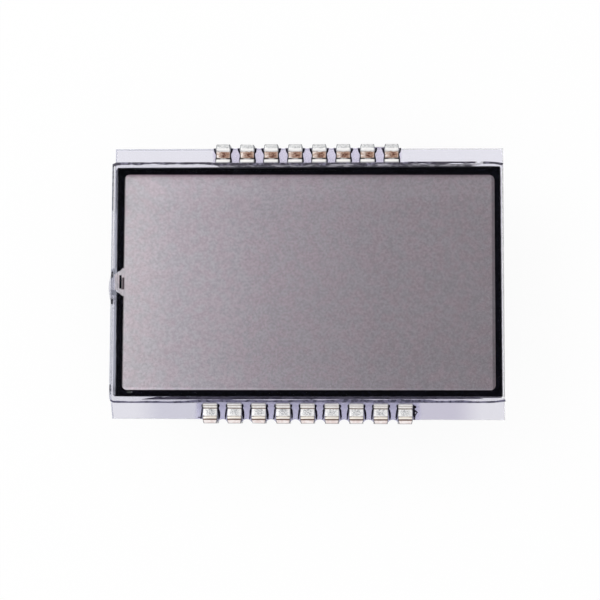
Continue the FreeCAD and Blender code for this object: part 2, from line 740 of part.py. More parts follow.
pieces = [rear_glass, front_glass, seal, crystal, dots]
pieces += [doc.getObject(name) for name in ("front_polariser", "rear_polariser", "rear_reflector")]
pieces += [plug] + upper_pins + lower_pins + [upper_resin, lower_resin]

doc.recompute()
for thing in doc.Objects:
    if "Invalid" in thing.State or "Error" in thing.State:
        raise RuntimeError("%s failed: %s" % (thing.Name, thing.State))
for piece in pieces:
    if piece.Shape.isNull() or not piece.Shape.isValid() or not piece.Shape.Solids:
        raise RuntimeError("%s has no sound shape" % piece.Label)
for piece in pieces:
    piece.Shape.exportStep("parts/%s.step" % piece.Label)
    shape = piece.Shape
    print("%s: %d solid, %.4f mm3" % (piece.Label, len(shape.Solids), shape.Volume))
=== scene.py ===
import math

import bmesh
import bpy
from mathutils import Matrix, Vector, noise


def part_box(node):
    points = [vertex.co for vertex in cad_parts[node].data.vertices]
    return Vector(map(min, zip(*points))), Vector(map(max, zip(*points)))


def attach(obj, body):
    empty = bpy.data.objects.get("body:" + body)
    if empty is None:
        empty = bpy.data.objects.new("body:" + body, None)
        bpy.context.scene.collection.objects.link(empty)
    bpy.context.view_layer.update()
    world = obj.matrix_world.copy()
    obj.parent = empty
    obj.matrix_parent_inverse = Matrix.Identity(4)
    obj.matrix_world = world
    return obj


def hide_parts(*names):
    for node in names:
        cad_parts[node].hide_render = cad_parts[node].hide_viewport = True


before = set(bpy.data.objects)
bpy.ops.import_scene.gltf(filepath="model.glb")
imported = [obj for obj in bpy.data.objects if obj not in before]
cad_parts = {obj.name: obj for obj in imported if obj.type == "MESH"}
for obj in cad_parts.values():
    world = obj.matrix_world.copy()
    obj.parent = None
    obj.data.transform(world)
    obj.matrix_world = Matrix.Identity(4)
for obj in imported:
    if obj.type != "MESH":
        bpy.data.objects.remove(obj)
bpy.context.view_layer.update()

# Camera
# It looks almost straight down on the viewing side, from 157 mm above the pin tips, and
# stands a little to the right and towards the lower row of pins.
MM = 0.001
CAMERA_PLACE = (4.956 * MM, -13.742 * MM, 156.9 * MM)
CAMERA_TURN = (4.582, 2.203, 0.244)
SENSOR_WIDTH = 36
FOCAL_LENGTH = 85.738
NEAREST_SEEN = 5 * MM
FURTHEST_SEEN = 5
bpy.ops.object.camera_add(
    location=CAMERA_PLACE,
    rotation=[math.radians(degrees) for degrees in CAMERA_TURN],
)
camera = bpy.context.object
camera.data.sensor_width = SENSOR_WIDTH
camera.data.lens = FOCAL_LENGTH
camera.data.clip_start = NEAREST_SEEN
camera.data.clip_end = FURTHEST_SEEN
bpy.context.scene.camera = camera

# Rear glass
# The lower plate of 1.1 mm soda-lime glass, scribed and broken to size. Its two ledges
# carry the contacts for the pins, and its edges are uneven where they broke.


def only(piece):
    """Selects one piece alone and makes it the active one."""
    bpy.ops.object.select_all(action="DESELECT")
    piece.select_set(True)
    bpy.context.view_layer.objects.active = piece


def edit(piece):
    """Starts edit mode on one piece alone, with nothing of it selected."""
    only(piece)
    bpy.ops.object.mode_set(mode="EDIT")
    bpy.ops.mesh.select_mode(type="VERT")
    bpy.ops.mesh.select_all(action="DESELECT")


def done():
    """Ends edit mode."""
    bpy.ops.object.mode_set(mode="OBJECT")


def pick(kind, test):
    """In edit mode, selects the vertices, edges or faces that pass the test."""
    bpy.ops.mesh.select_mode(type=kind)
    bpy.ops.mesh.select_all(action="DESELECT")
    mesh = bmesh.from_edit_mesh(bpy.context.object.data)
    for part in {"VERT": mesh.verts, "EDGE": mesh.edges, "FACE": mesh.faces}[kind]:
        part.select_set(test(part))
    mesh.select_flush_mode()
    bmesh.update_edit_mesh(bpy.context.object.data)


def settle(piece):
    """Puts a piece's place, turn and scale into its mesh."""
    only(piece)
    bpy.ops.object.transform_apply(location=True, rotation=True, scale=True)


def block(name, low, high):
    """A box between two corners, as the start of a piece."""
    middle = (Vector(low) + Vector(high)) / 2
    bpy.ops.mesh.primitive_cube_add(size=1, location=middle, scale=Vector(high) - Vector(low))
    piece = bpy.context.object
    piece.name = name
    piece.data.name = name
    settle(piece)
    return piece


def limited(share):
    """A share, kept from 0 to 1."""
    return max(0.0, min(1.0, share))


TOUCHING = 0.001 * MM


def runs_along(edge, axis):
    """True if an edge runs along one axis."""
    way = (edge.verts[1].co - edge.verts[0].co).normalized()
    return abs(way[axis]) > 0.99


def on_rim(edge, low, high):
    """True if an edge is part of the rim of a plate's upper or lower face."""
    a, b = edge.verts[0].co, edge.verts[1].co
    at_face = min(abs(a.z - low.z), abs(a.z - high.z)) < TOUCHING
    return at_face and abs(a.z - b.z) < TOUCHING and not edge.is_boundary


def wobble(at, scale, seed):
    """Smooth noise from -1 to 1 along a broken edge; scale is its length in metres."""
    return noise.noise(Vector((at.x / scale + seed, at.y / scale, seed)))


FACET = 0.05 * MM
CUTS_ALONG = 150
CUTS_ACROSS = 70


def broken_plate(name, low, high):
    """A glass plate with a narrow facet round each face, ready for its uneven breaks."""
    plate = block(name, low, high)
    edit(plate)
    pick("EDGE", lambda e: on_rim(e, low, high))
    bpy.ops.mesh.bevel(offset=FACET, offset_type="OFFSET", segments=1, affect="EDGES")
    pick("EDGE", lambda e: runs_along(e, 0))
    bpy.ops.mesh.subdivide(number_cuts=CUTS_ALONG)
    pick("EDGE", lambda e: runs_along(e, 1))
    bpy.ops.mesh.subdivide(number_cuts=CUTS_ACROSS)
    done()
    return plate


def new_material(name):
    """An empty material: itself, its node tree, and its output."""
    material = bpy.data.materials.new(name)
    material.use_nodes = True
    tree = material.node_tree
    tree.nodes.clear()
    output = tree.nodes.new("ShaderNodeOutputMaterial")
    return material, tree, output


def wire(tree, start, end):
    """Links an output to an input."""
    tree.links.new(start, end)


def surface(tree, shader, output):
    """Makes a shader the surface that a material or the world shows."""
    wire(tree, shader.outputs[0], output.inputs["Surface"])


def principled(tree):
    """A Principled shader, still with its usual values."""
    return tree.nodes.new("ShaderNodeBsdfPrincipled")


def maths(tree, operation, *values):
    """A Math node. Each value is a number or an output, and it gives its own output."""
    node = tree.nodes.new("ShaderNodeMath")
    node.operation = operation
    for n, value in enumerate(values):
        if isinstance(value, (int, float)):
            node.inputs[n].default_value = value
        else:
            tree.links.new(value, node.inputs[n])
    return node.outputs[0]


def product(tree, first, *others):
    """Several values, multiplied one after the other."""
    for other in others:
        first = maths(tree, "MULTIPLY", first, other)
    return first


def swing(tree, cells, width):
    """A grain from 0 to 1, turned into a swing about 0 that is width across."""
    return maths(tree, "MULTIPLY", maths(tree, "SUBTRACT", cells, 0.5), width)


def ramp(tree, value, low, high, first=0.0, last=1.0):
    """value from low to high becomes first to last, smoothly, and stays within them."""
    node = tree.nodes.new("ShaderNodeMapRange")
    node.interpolation_type = "SMOOTHSTEP"
    for n, number in enumerate((low, high, first, last), start=1):
        node.inputs[n].default_value = number
    tree.links.new(value, node.inputs[0])
    return node.outputs[0]


def ramp_mm(tree, value, low, high, first=0.0, last=1.0):
    """A ramp from one length in millimetres to another."""
    return ramp(tree, value, low * MM, high * MM, first, last)


def vector_maths(tree, operation, first, second):
    """A Vector Math node on two outputs. It gives its own output."""
    node = tree.nodes.new("ShaderNodeVectorMath")
    node.operation = operation
    wire(tree, first, node.inputs[0])
    wire(tree, second, node.inputs["Scale" if operation == "SCALE" else 1])
    return node.outputs[0]


def build_grain():
    """The noise that every finish here shares. Size is the length of a grain in metres."""
    group = bpy.data.node_groups.new("surface_grain", "ShaderNodeTree")
    for name, kind, start in (
        ("Size", "NodeSocketFloat", 0.001),
        ("Detail", "NodeSocketFloat", 2.0),
        ("Seed", "NodeSocketVector", (0, 0, 0)),
        ("Stretch", "NodeSocketVector", (1, 1, 1)),
    ):
        socket = group.interface.new_socket(name, in_out="INPUT", socket_type=kind)
        socket.default_value = start
    group.interface.new_socket("Grain", in_out="OUTPUT", socket_type="NodeSocketFloat")
    start = group.nodes.new("NodeGroupInput")
    end = group.nodes.new("NodeGroupOutput")
    where = group.nodes.new("ShaderNodeTexCoord").outputs["Object"]
    cells = group.nodes.new("ShaderNodeTexNoise")
    cells.inputs["Scale"].default_value = 1.0
    where = vector_maths(group, "MULTIPLY", where, start.outputs["Stretch"])
    where = vector_maths(group, "SCALE", where, maths(group, "DIVIDE", 1.0, start.outputs["Size"]))
    where = vector_maths(group, "ADD", where, start.outputs["Seed"])
    wire(group, where, cells.inputs["Vector"])
    wire(group, start.outputs["Detail"], cells.inputs["Detail"])
    wire(group, cells.outputs["Fac"], end.inputs["Grain"])
    return group


grain_group = build_grain()


def grain(tree, size, detail=2.0, seed=(0, 0, 0), stretch=(1, 1, 1)):
    """Places the grain in a material and gives its output, from 0 to 1."""
    node = tree.nodes.new("ShaderNodeGroup")
    node.node_tree = grain_group
    node.inputs["Size"].default_value = size
    node.inputs["Detail"].default_value = detail
    node.inputs["Seed"].default_value = seed
    node.inputs["Stretch"].default_value = stretch
    return node.outputs["Grain"]


LOW_GRAIN = 0.3
HIGH_GRAIN = 0.7


def roughen(tree, shader, cells, smoothest, roughest):
    """Lets a surface's roughness follow a grain."""
    wire(tree, ramp(tree, cells, LOW_GRAIN, HIGH_GRAIN, smoothest, roughest), shader.inputs["Roughness"])


def emboss(tree, shader, height, strength, depth):
    """Gives a surface fine bumps of a depth in metres."""
    bump = tree.nodes.new("ShaderNodeBump")
    bump.inputs["Strength"].default_value = strength
    bump.inputs["Distance"].default_value = depth
    wire(tree, height, bump.inputs["Height"])
    wire(tree, bump.outputs[0], shader.inputs["Normal"])


def blend(tree, share, first, second):
    """A colour between two; each is a colour or an output."""
    node = tree.nodes.new("ShaderNodeMix")
    node.data_type = "RGBA"
    for socket, value in ((node.inputs[0], share), (node.inputs[6], first), (node.inputs[7], second)):
        if isinstance(value, tuple):
            socket.default_value = (*value, 1)
        elif isinstance(value, (int, float)):
            socket.default_value = value
        else:
            tree.links.new(value, socket)
    return node.outputs[2]


def mixed(tree, share, first, second):
    """A shader between two; share is a number or an output."""
    mix = tree.nodes.new("ShaderNodeMixShader")
    if isinstance(share, float):
        mix.inputs[0].default_value = share
    else:
        wire(tree, share, mix.inputs[0])
    wire(tree, first.outputs[0], mix.inputs[1])
    wire(tree, second.outputs[0], mix.inputs[2])
    return mix


def place_of(tree):
    """The piece's own X, Y and Z as three outputs, in metres."""
    where = tree.nodes.new("ShaderNodeTexCoord")
    split = tree.nodes.new("ShaderNodeSeparateXYZ")
    tree.links.new(where.outputs["Object"], split.inputs[0])
    return split.outputs


GLASS_IOR = 1.52
GLASS_CLARITY = (0.98, 0.98, 0.985, 1)


def clear_glass(tree):
    """The shader of clear glass."""
    glass = principled(tree)
    glass.inputs["Transmission Weight"].default_value = 1
    glass.inputs["IOR"].default_value = GLASS_IOR
    return glass


def lit_behind(tree, glass, output):
    """Finishes clear glass so that the room's light reaches what lies behind it."""
    path = tree.nodes.new("ShaderNodeLightPath")
    clear = tree.nodes.new("ShaderNodeBsdfTransparent")
    clear.inputs["Color"].default_value = GLASS_CLARITY
    for ray in ("Is Shadow Ray", "Is Diffuse Ray"):
        glass = mixed(tree, path.outputs[ray], glass, clear)
    surface(tree, glass, output)


# Ledge colours: the violet cast is the glass's own; its depth from place to place is painted shade and light.
LEDGE_LEFT = (0.68, 0.67, 0.77)
LEDGE_RIGHT = (0.64, 0.615, 0.73)
LEDGE_ENDS = (0.83, 0.82, 0.89)
LEDGE_ABOVE = (0.86, 0.85, 0.93)
BESIDE_SEAL = (0.99, 0.99, 1.0)


def ledge_glass_material():
    """The rear glass, with the violet cast of its ledges. How deep the violet lies is painted
    shade and light: deeper at the lower ledge and towards its right, paler at its ends and
    higher up, and none on the narrow strip right of the seal."""
    material, tree, output = new_material("rear_display_glass")
    glass = clear_glass(tree)
    glass.inputs["Roughness"].default_value = 0
    at = place_of(tree)
    lower = blend(tree, ramp_mm(tree, at["X"], -14, 16), LEDGE_LEFT, LEDGE_RIGHT)
    ends = ramp_mm(tree, maths(tree, "ABSOLUTE", at["X"]), 15.0, 18.5)
    lower = blend(tree, ends, lower, LEDGE_ENDS)
    upward = ramp_mm(tree, at["Y"], -10, 10)
    upward = maths(tree, "ADD", upward, swing(tree, grain(tree, 6 * MM, 3), 0.3))
    tinted = blend(tree, upward, lower, LEDGE_ABOVE)
    strip = ramp_mm(tree, maths(tree, "ABSOLUTE", at["Y"]), 11.8, 12.3, 1, 0)
    strip = product(tree, strip, ramp_mm(tree, at["X"], 19.6, 20.1))
    wire(tree, blend(tree, strip, tinted, BESIDE_SEAL), glass.inputs["Base Color"])
    lit_behind(tree, glass, output)
    return material


HACKLE_STRETCH = (1, 1, 0.35)
FROST_DIM = (0.88, 0.88, 0.94)
FROST_WHITE = (1.0, 1.0, 1.0)
FROST_LEFT = (0.76, 0.77, 0.85)


def frosted_material(name):
    """A clean break: clear glass with a fine hackle that scatters the light."""
    material, tree, output = new_material(name)
    glass = clear_glass(tree)
    hackle = grain(tree, 0.3 * MM, 4, stretch=HACKLE_STRETCH)
    tint = blend(tree, ramp(tree, hackle, 0.35, 0.65), FROST_DIM, FROST_WHITE)
    wire(tree, tint, glass.inputs["Base Color"])
    roughen(tree, glass, hackle, 0.25, 0.5)
    emboss(tree, glass, hackle, 0.3, 0.02 * MM)
    thin = tree.nodes.new("ShaderNodeBsdfTransparent")
    rightward = ramp_mm(tree, place_of(tree)["X"], -15, 15)
    wire(tree, blend(tree, rightward, FROST_LEFT, FROST_WHITE), thin.inputs["Color"])
    lit_behind(tree, mixed(tree, 0.55, glass, thin), output)
    return material


rear_low, rear_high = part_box("rear_glass")
front_low, front_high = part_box("front_glass")
rear_glass = ledge_glass_material()
clean_break = frosted_material("clean_broken_edge")

LEAN = 0.15 * MM
SLANT = 0.17 * MM
LEAN_RUN = 2 * MM
RIM_UNEVEN = 0.012 * MM
SIDE_UNEVEN = 0.015 * MM
SIDE_REACH = 0.3 * MM
LEVEL = 0.9995
LEDGE_LOW = front_low.y
rear = broken_plate("rear_plate", rear_low, rear_high)
for vertex in rear.data.vertices:
    at = vertex.co
    near_left = limited((rear_low.x + LEAN_RUN - at.x) / LEAN_RUN)
    if at.y >= LEDGE_LOW:
        inset = LEAN * (at.y - LEDGE_LOW) / (rear_high.y - LEDGE_LOW)
    else:
        inset = SLANT * (LEDGE_LOW - at.y) / (LEDGE_LOW - rear_low.y)
    at.x += inset * near_left
    if min(abs(at.y - rear_low.y), abs(at.y - rear_high.y)) < 2 * FACET:
        at.y += RIM_UNEVEN * wobble(at, 1.7 * MM, 3.1)
    if at.x < rear_low.x + LEAN + SIDE_REACH:
        at.x += SIDE_UNEVEN * wobble(at, 1.1 * MM, 5.2)
rear.data.materials.append(rear_glass)
rear.data.materials.append(clean_break)
for face in rear.data.polygons:
    face.material_index = 0 if abs(face.normal.z) > LEVEL else 1
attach(rear, "root")
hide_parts("rear_glass")

# Front glass
# The upper plate, which the viewer looks through. Its upper and lower edges broke
# unevenly; their dark look is painted shade in the colour of the breaks. A small
# shell-shaped chip is missing near the right end.
front_glass, tree, output = new_material("front_display_glass")
glass = clear_glass(tree)
glass.inputs["Base Color"].default_value = (0.965, 0.965, 0.98, 1)
glass.inputs["Roughness"].default_value = 0
lit_behind(tree, glass, output)

HACKLE_SOFT = 0.08


def break_material(name, dark, pale, size, level):
    """The rough break along an edge: glassy hackle, painted dark and pale, that part at level.
    The dark is painted shade, for the light that the break turns away.
    """
    material, tree, output = new_material(name)
    shader = principled(tree)
    hackle = grain(tree, size, 4, stretch=HACKLE_STRETCH)
    mask = ramp(tree, hackle, level - HACKLE_SOFT, level + HACKLE_SOFT)
    wire(tree, blend(tree, mask, dark, pale), shader.inputs["Base Color"])
    roughen(tree, shader, hackle, 0.18, 0.45)
    emboss(tree, shader, hackle, 0.4, 0.03 * MM)
    surface(tree, shader, output)
    return material


# The dark of these breaks is painted shade; the hackle's pattern is the glass's own.
DARK_HACKLE = ((0.035, 0.03, 0.05), (0.17, 0.16, 0.23))
BLUE_HACKLE = ((0.040, 0.037, 0.070), (0.115, 0.108, 0.180))
DULL_HACKLE = ((0.045, 0.050, 0.075), (0.16, 0.17, 0.22))
dark_break = break_material("dark_broken_edge", *DARK_HACKLE, 0.4 * MM, 0.58)
blue_break = break_material("blue_broken_edge", *BLUE_HACKLE, 0.5 * MM, 0.48)
dull_break = break_material("dull_broken_edge", *DULL_HACKLE, 0.5 * MM, 0.5)

FACET_LOW = 0.25 * MM
FACET_HIGH = 0.28 * MM
FACET_SIDE = 0.10 * MM
SIDE_FROM = 6 * MM
SIDE_RUN = 3 * MM
BULGE_ENDS = 0.12 * MM
BULGE_ROW = 0.05 * MM
ROW_HALF = 9.8 * MM
ROW_RUN = 0.6 * MM
BULGE_LOW = 0.13 * MM
LOW_FROM = -10 * MM
LOW_RUN = 3 * MM
CORNER_RUN = 0.45 * MM
CORNER_DROP = 0.20 * MM
RIGHT_FROM = 18.5 * MM
RIGHT_RUN = 2 * MM


def uneven(at, broad, fine, fine_share):
    """How wide a broken facet is at one place, as a share of its named width. broad and fine
    are the length and the seed of its two waves."""
    return 0.8 + 0.6 * wobble(at, *broad) + fine_share * wobble(at, *fine)


front = broken_plate("front_plate", front_low, front_high)
for vertex in front.data.vertices:
    at = vertex.co
    on_upper = front_high.y - at.y < 2 * FACET
    on_lower = at.y - front_low.y < 2 * FACET
    left = at.x - front_low.x
    on_face = abs(at.z - front_high.z) < TOUCHING
    drop = CORNER_DROP * max(0.0, 1 - left / CORNER_RUN)
    drop += CORNER_DROP * max(0.0, (at.x - RIGHT_FROM) / RIGHT_RUN) ** 2
    if on_face and left < 2 * FACET:
        at.x += FACET_SIDE * limited((at.y - SIDE_FROM) / SIDE_RUN)
    if on_upper:
        ends = limited((abs(at.x) - ROW_HALF) / ROW_RUN)
        at.y += BULGE_ROW + (BULGE_ENDS - BULGE_ROW) * ends - drop
    if on_lower:
        at.x += 0.6 * drop
        at.y += drop - BULGE_LOW * limited((LOW_FROM - at.x) / LOW_RUN)
    if on_upper and on_face:
        at.y -= FACET_HIGH * uneven(at, (1.6 * MM, 1.7), (0.4 * MM, 9.1), 0.3)
    elif on_upper:
        at.y += SIDE_UNEVEN * wobble(at, 0.9 * MM, 2.2)
    if on_lower and on_face:
        at.y += FACET_LOW * uneven(at, (2.4 * MM, 4.4), (0.5 * MM, 6.6), 0.2)
    elif on_lower:
        at.y += SIDE_UNEVEN * wobble(at, 0.9 * MM, 7.2)

NICK_AT = (17.85 * MM, 12.66 * MM, front_high.z - 0.2 * MM)
NICK_SIZE = (0.21 * MM, 0.22 * MM, 0.75 * MM)
NICK_REACH = 0.8 * MM
NICK_WIDTH = 0.22 * MM
bpy.ops.mesh.primitive_ico_sphere_add(subdivisions=3, radius=1, location=NICK_AT, scale=NICK_SIZE)
cutter = bpy.context.object
settle(cutter)
chip = front.modifiers.new("chip", "BOOLEAN")
chip.operation = "DIFFERENCE"
chip.object = cutter
only(front)
bpy.ops.object.modifier_apply(modifier="chip")
bpy.data.objects.remove(cutter)

CLEAR, DARK, CLEAN, BLUE, DULL = range(5)
DULL_ABOVE = 7.6 * MM
DULL_FROM = -11.6 * MM
DULL_TO = -10.6 * MM
front.data.materials.clear()
for material in (front_glass, dark_break, clean_break, blue_break, dull_break):
    front.data.materials.append(material)
for face in front.data.polygons:
    middle = face.center
    side = min(middle.x - front_low.x, front_high.x - middle.x) < 2 * FACET
    near_nick = (middle - Vector(NICK_AT)).length < NICK_REACH
    chipped = near_nick and abs(middle.x - NICK_AT[0]) < NICK_WIDTH
    # Parts of the left side that take the dull break: painted shade, as on the other breaks.
    dull_zone = middle.x < 0 and (middle.y > DULL_ABOVE or DULL_FROM < middle.y < DULL_TO)
    if abs(face.normal.z) > LEVEL:
        face.material_index = CLEAR
    elif chipped or side and not dull_zone:
        face.material_index = CLEAN
    elif side:
        face.material_index = DULL
    elif middle.y < 0:
        face.material_index = BLUE
    else:
        face.material_index = DARK
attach(front, "root")
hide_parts("front_glass")

# Perimeter seal
# One printed line of black-looking epoxy between the plates, with lips and two pillars
# at the fill port. Where no polarising film covers it, it is a dull grey.


def edit_all(piece):
    """Starts edit mode on one piece alone, with all of it selected."""
    edit(piece)
    bpy.ops.mesh.select_all(action="SELECT")


def copy_of(node, name):
    """A copy of a CAD node's mesh, merged to one skin."""
    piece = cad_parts[node].copy()
    piece.data = piece.data.copy()
    piece.name = name
    piece.data.name = name
    piece.parent = None
    for key in list(piece.keys()):
        del piece[key]
    bpy.context.scene.collection.objects.link(piece)
    piece.data.materials.clear()
    edit_all(piece)
    bpy.ops.mesh.remove_doubles(threshold=0.00002 * MM)
    done()
    return piece


GAP_MIDDLE = (rear_high.z + front_low.z) / 2


def thin_down(piece, share):
    """Makes a piece in the cell gap thinner about the middle of the gap."""
    edit_all(piece)
    bpy.ops.transform.resize(value=(1, 1, share), center_override=(0, 0, GAP_MIDDLE))
    done()


FILM_TURN = math.radians(0.17)
FILM_MIDDLE = (0.015 * MM, 0.175 * MM, 0)
FILM_HALF = (20.165 * MM, 12.075 * MM)
FILM_SOFT = 0.03 * MM
FILM_RAGGED = 0.08 * MM


def under_film(tree):
    """1 where the front film covers the seal, as seen through the glass, else 0."""
    where = tree.nodes.new("ShaderNodeTexCoord")
    turn = tree.nodes.new("ShaderNodeMapping")
    turn.vector_type = "TEXTURE"
    turn.inputs["Location"].default_value = FILM_MIDDLE
    turn.inputs["Rotation"].default_value = (0, 0, FILM_TURN)
    split = tree.nodes.new("ShaderNodeSeparateXYZ")
    wire(tree, where.outputs["Object"], turn.inputs["Vector"])
    wire(tree, turn.outputs[0], split.inputs[0])
    ragged = swing(tree, grain(tree, 0.5 * MM, 3), FILM_RAGGED)
    inside = []
    for axis, half in zip("XY", FILM_HALF):
        off = maths(tree, "SUBTRACT", maths(tree, "ABSOLUTE", split.outputs[axis]), half)
        inside.append(ramp(tree, maths(tree, "ADD", off, ragged), -FILM_SOFT, FILM_SOFT, 1, 0))
    return product(tree, *inside)


PATCH_MIDDLE = (-18.66 * MM, -11.50 * MM)
PATCH_HALF = (0.34 * MM, 0.12 * MM)


def thin_patch(tree):
    """1 at the lens-shaped patch by the transfer dot, where the epoxy is thin."""
    at = place_of(tree)
    squares = []
    for axis, middle, half in zip("XY", PATCH_MIDDLE, PATCH_HALF):
        off = maths(tree, "DIVIDE", maths(tree, "SUBTRACT", at[axis], middle), half)
        squares.append(maths(tree, "MULTIPLY", off, off))
    reach = maths(tree, "ADD", *squares)
    return ramp(tree, maths(tree, "ADD", reach, grain(tree, 0.2 * MM, 2)), 1.0, 1.8, 1, 0)


WINDOW_LOW = (-19.445 * MM, -11.22 * MM)
WINDOW_HIGH = (19.505 * MM, 11.36 * MM)
WINDOW_CLIMB = 0.10 * MM
WINDOW_RAISED = 0.05 * MM
EDGE_DEPTH = 0.6 * MM
EDGE_SLACK = 0.01 * MM


def set_askew(piece):
    """The window was printed a little out of square: its upper edge climbs to the left, and
    its lower edge sinks to the left."""
    half = (WINDOW_HIGH[0] - WINDOW_LOW[0]) / 2
    for vertex in piece.data.vertices:
        at = vertex.co
        leftward = limited((half - at.x) / (2 * half))
        if -EDGE_DEPTH < at.y - WINDOW_HIGH[1] < EDGE_SLACK:
            at.y += WINDOW_CLIMB * leftward
        if -EDGE_SLACK < at.y - WINDOW_LOW[1] < EDGE_DEPTH:
            at.y += WINDOW_RAISED - WINDOW_CLIMB * leftward


SEAL_MIDDLE = (0.03 * MM, 0.07 * MM)
SEAL_HALF = (20.225 * MM, 12.04 * MM)
SEAL_CORNER = 1.3 * MM
SEAL_SQUARED = 0.93
SEAL_THICKNESS = 0.6
LEFT_LINE = -19.9 * MM
LEFT_OUT = 0.18 * MM
UPPER_LINE = 12.05 * MM
UPPER_OUT = 0.10 * MM
UPPER_OUT_MORE = 0.08 * MM
MORE_FROM = 13 * MM
MORE_RUN = 6 * MM
seal = copy_of("perimeter_seal", "printed_seal")
thin_down(seal, SEAL_THICKNESS)
for vertex in seal.data.vertices:
    at = vertex.co
    over = [abs(at[n] - SEAL_MIDDLE[n]) - (SEAL_HALF[n] - SEAL_CORNER) for n in (0, 1)]
    if min(over) > 0 and math.hypot(*over) > 0.9 * SEAL_CORNER:
        squared = SEAL_SQUARED * (SEAL_CORNER / max(over) - 1)
        for n in (0, 1):
            at[n] += math.copysign(over[n] * squared, at[n] - SEAL_MIDDLE[n])
    if at.x < LEFT_LINE:
        at.x -= LEFT_OUT
    if at.y > UPPER_LINE:
        at.y += UPPER_OUT + UPPER_OUT_MORE * limited((at.x - MORE_FROM) / MORE_RUN)
set_askew(seal)

EPOXY_BLACK = (0.0035, 0.0035, 0.006)
EPOXY_BARE_LEFT = (0.36, 0.37, 0.43)
EPOXY_BARE_RIGHT = (0.70, 0.68, 0.75)
EPOXY_BARE_BELOW = (0.10, 0.095, 0.13)
EPOXY_THIN = (0.060, 0.066, 0.060)
EPOXY_PILLAR = (0.10, 0.07, 0.08)
material, tree, output = new_material("seal_epoxy")
shader = principled(tree)
at = place_of(tree)
rightward = ramp_mm(tree, at["X"], -19, 20)
bare = blend(tree, rightward, EPOXY_BARE_LEFT, EPOXY_BARE_RIGHT)
below = ramp_mm(tree, at["Y"], -11.9, -11.7, 1, 0)
bare = blend(tree, below, bare, EPOXY_BARE_BELOW)
colour = blend(tree, under_film(tree), bare, EPOXY_BLACK)
colour = blend(tree, thin_patch(tree), colour, EPOXY_THIN)
pillar = product(
    tree,
    ramp_mm(tree, maths(tree, "ABSOLUTE", at["Y"]), 1.0, 1.1, 1, 0),
    ramp_mm(tree, at["X"], -19.60, -19.55),
    ramp_mm(tree, at["X"], -19.30, -19.20, 1, 0),
)
wire(tree, blend(tree, pillar, colour, EPOXY_PILLAR), shader.inputs["Base Color"])
shader.inputs["Roughness"].default_value = 0.6
shader.inputs["Specular IOR Level"].default_value = 0.0
surface(tree, shader, output)
seal.data.materials.append(material)
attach(seal, "root")
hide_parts("perimeter_seal")

# Liquid crystal
# The fluid in the window, switched off: a neutral grey with a fine mottle. Its colour holds
# painted light and shade: lighter at the left and towards the top and the foot, the frame's
# shade along its upper, right and left sides, and a bright line along its lower edge. It
# is also darker in the fill port between the pillars.
# The fall from light at the left to dark at the right is painted light.
FLUID_TONES = (
    (0.0, (0.74, 0.68, 0.71)),
    (0.14, (0.59, 0.54, 0.58)),
    (0.40, (0.445, 0.40, 0.435)),
    (0.70, (0.355, 0.318, 0.345)),
    (1.0, (0.315, 0.280, 0.302)),
)
BLOTCH_WARM = (1.025, 0.983, 0.996)
BLOTCH_COOL = (0.975, 1.009, 1.008)
SHADE_MAUVE = (1.15, 0.90, 1.0)
SHADE_DEPTH = 0.93
PORT_MIDDLE = 0.04 * MM
PORT_SHARE = 0.95
DIM_MIDDLE = -0.12 * MM
DIM_DEPTH = 0.62


def distance(tree, value, middle):
    """How far a value is from a middle one."""
    return maths(tree, "ABSOLUTE", maths(tree, "SUBTRACT", value, middle))


crystal = copy_of("liquid_crystal", "display_fluid")
thin_down(crystal, SEAL_THICKNESS)
set_askew(crystal)
material, tree, output = new_material("unlit_display_fluid")
shader = principled(tree)
shader.inputs["Roughness"].default_value = 0.6
shader.inputs["Specular IOR Level"].default_value = 0.0
at = place_of(tree)
left, foot = WINDOW_LOW
right, top = WINDOW_HIGH
across = maths(tree, "DIVIDE", maths(tree, "SUBTRACT", at["X"], left), right - left)
tone = tree.nodes.new("ShaderNodeValToRGB")
stops = tone.color_ramp.elements
for position, colour in FLUID_TONES[1:-1]:
    stops.new(position)
for stop, (position, colour) in zip(stops, FLUID_TONES):
    stop.position = position
    stop.color = (*colour, 1)
wire(tree, across, tone.inputs[0])
mottle = maths(tree, "ADD", ramp(tree, grain(tree, 0.22 * MM, 4), 0.36, 0.64, -0.09, 0.09), 1.0)
blotch = grain(tree, 0.9 * MM, 3, seed=(3, 7, 0))
tinted = blend(tree, ramp(tree, blotch, 0.36, 0.64), BLOTCH_WARM, BLOTCH_COOL)
# Painted shade of the frame along the upper edge, tinted mauve.
shade = tree.nodes.new("ShaderNodeMapRange")
for n, number in enumerate((top - 0.55 * MM, top + 0.20 * MM, 0.0, 1.0), start=1):
    shade.inputs[n].default_value = number
wire(tree, at["Y"], shade.inputs[0])
shade = maths(tree, "POWER", shade.outputs[0], 2.5)
mauve = blend(tree, maths(tree, "MULTIPLY", shade, 1.4), tinted, SHADE_MAUVE)
from_port = distance(tree, at["Y"], PORT_MIDDLE)
port = ramp_mm(tree, from_port, 1.35, 1.6, PORT_SHARE, 0)
left_edge_shade = maths(tree, "MAXIMUM", ramp(tree, at["X"], left, left + 0.18 * MM, 0.12, 1.0), port)
# Darker in the fill port's channel between the pillars.
from_dim = distance(tree, at["Y"], DIM_MIDDLE)
port_dimming = product(
    tree,
    ramp_mm(tree, from_dim, 0.55, 0.68, 1, 0),
    ramp_mm(tree, at["X"], -19.72, -19.66),
    ramp_mm(tree, at["X"], -19.34, -19.28, 1, 0),
)
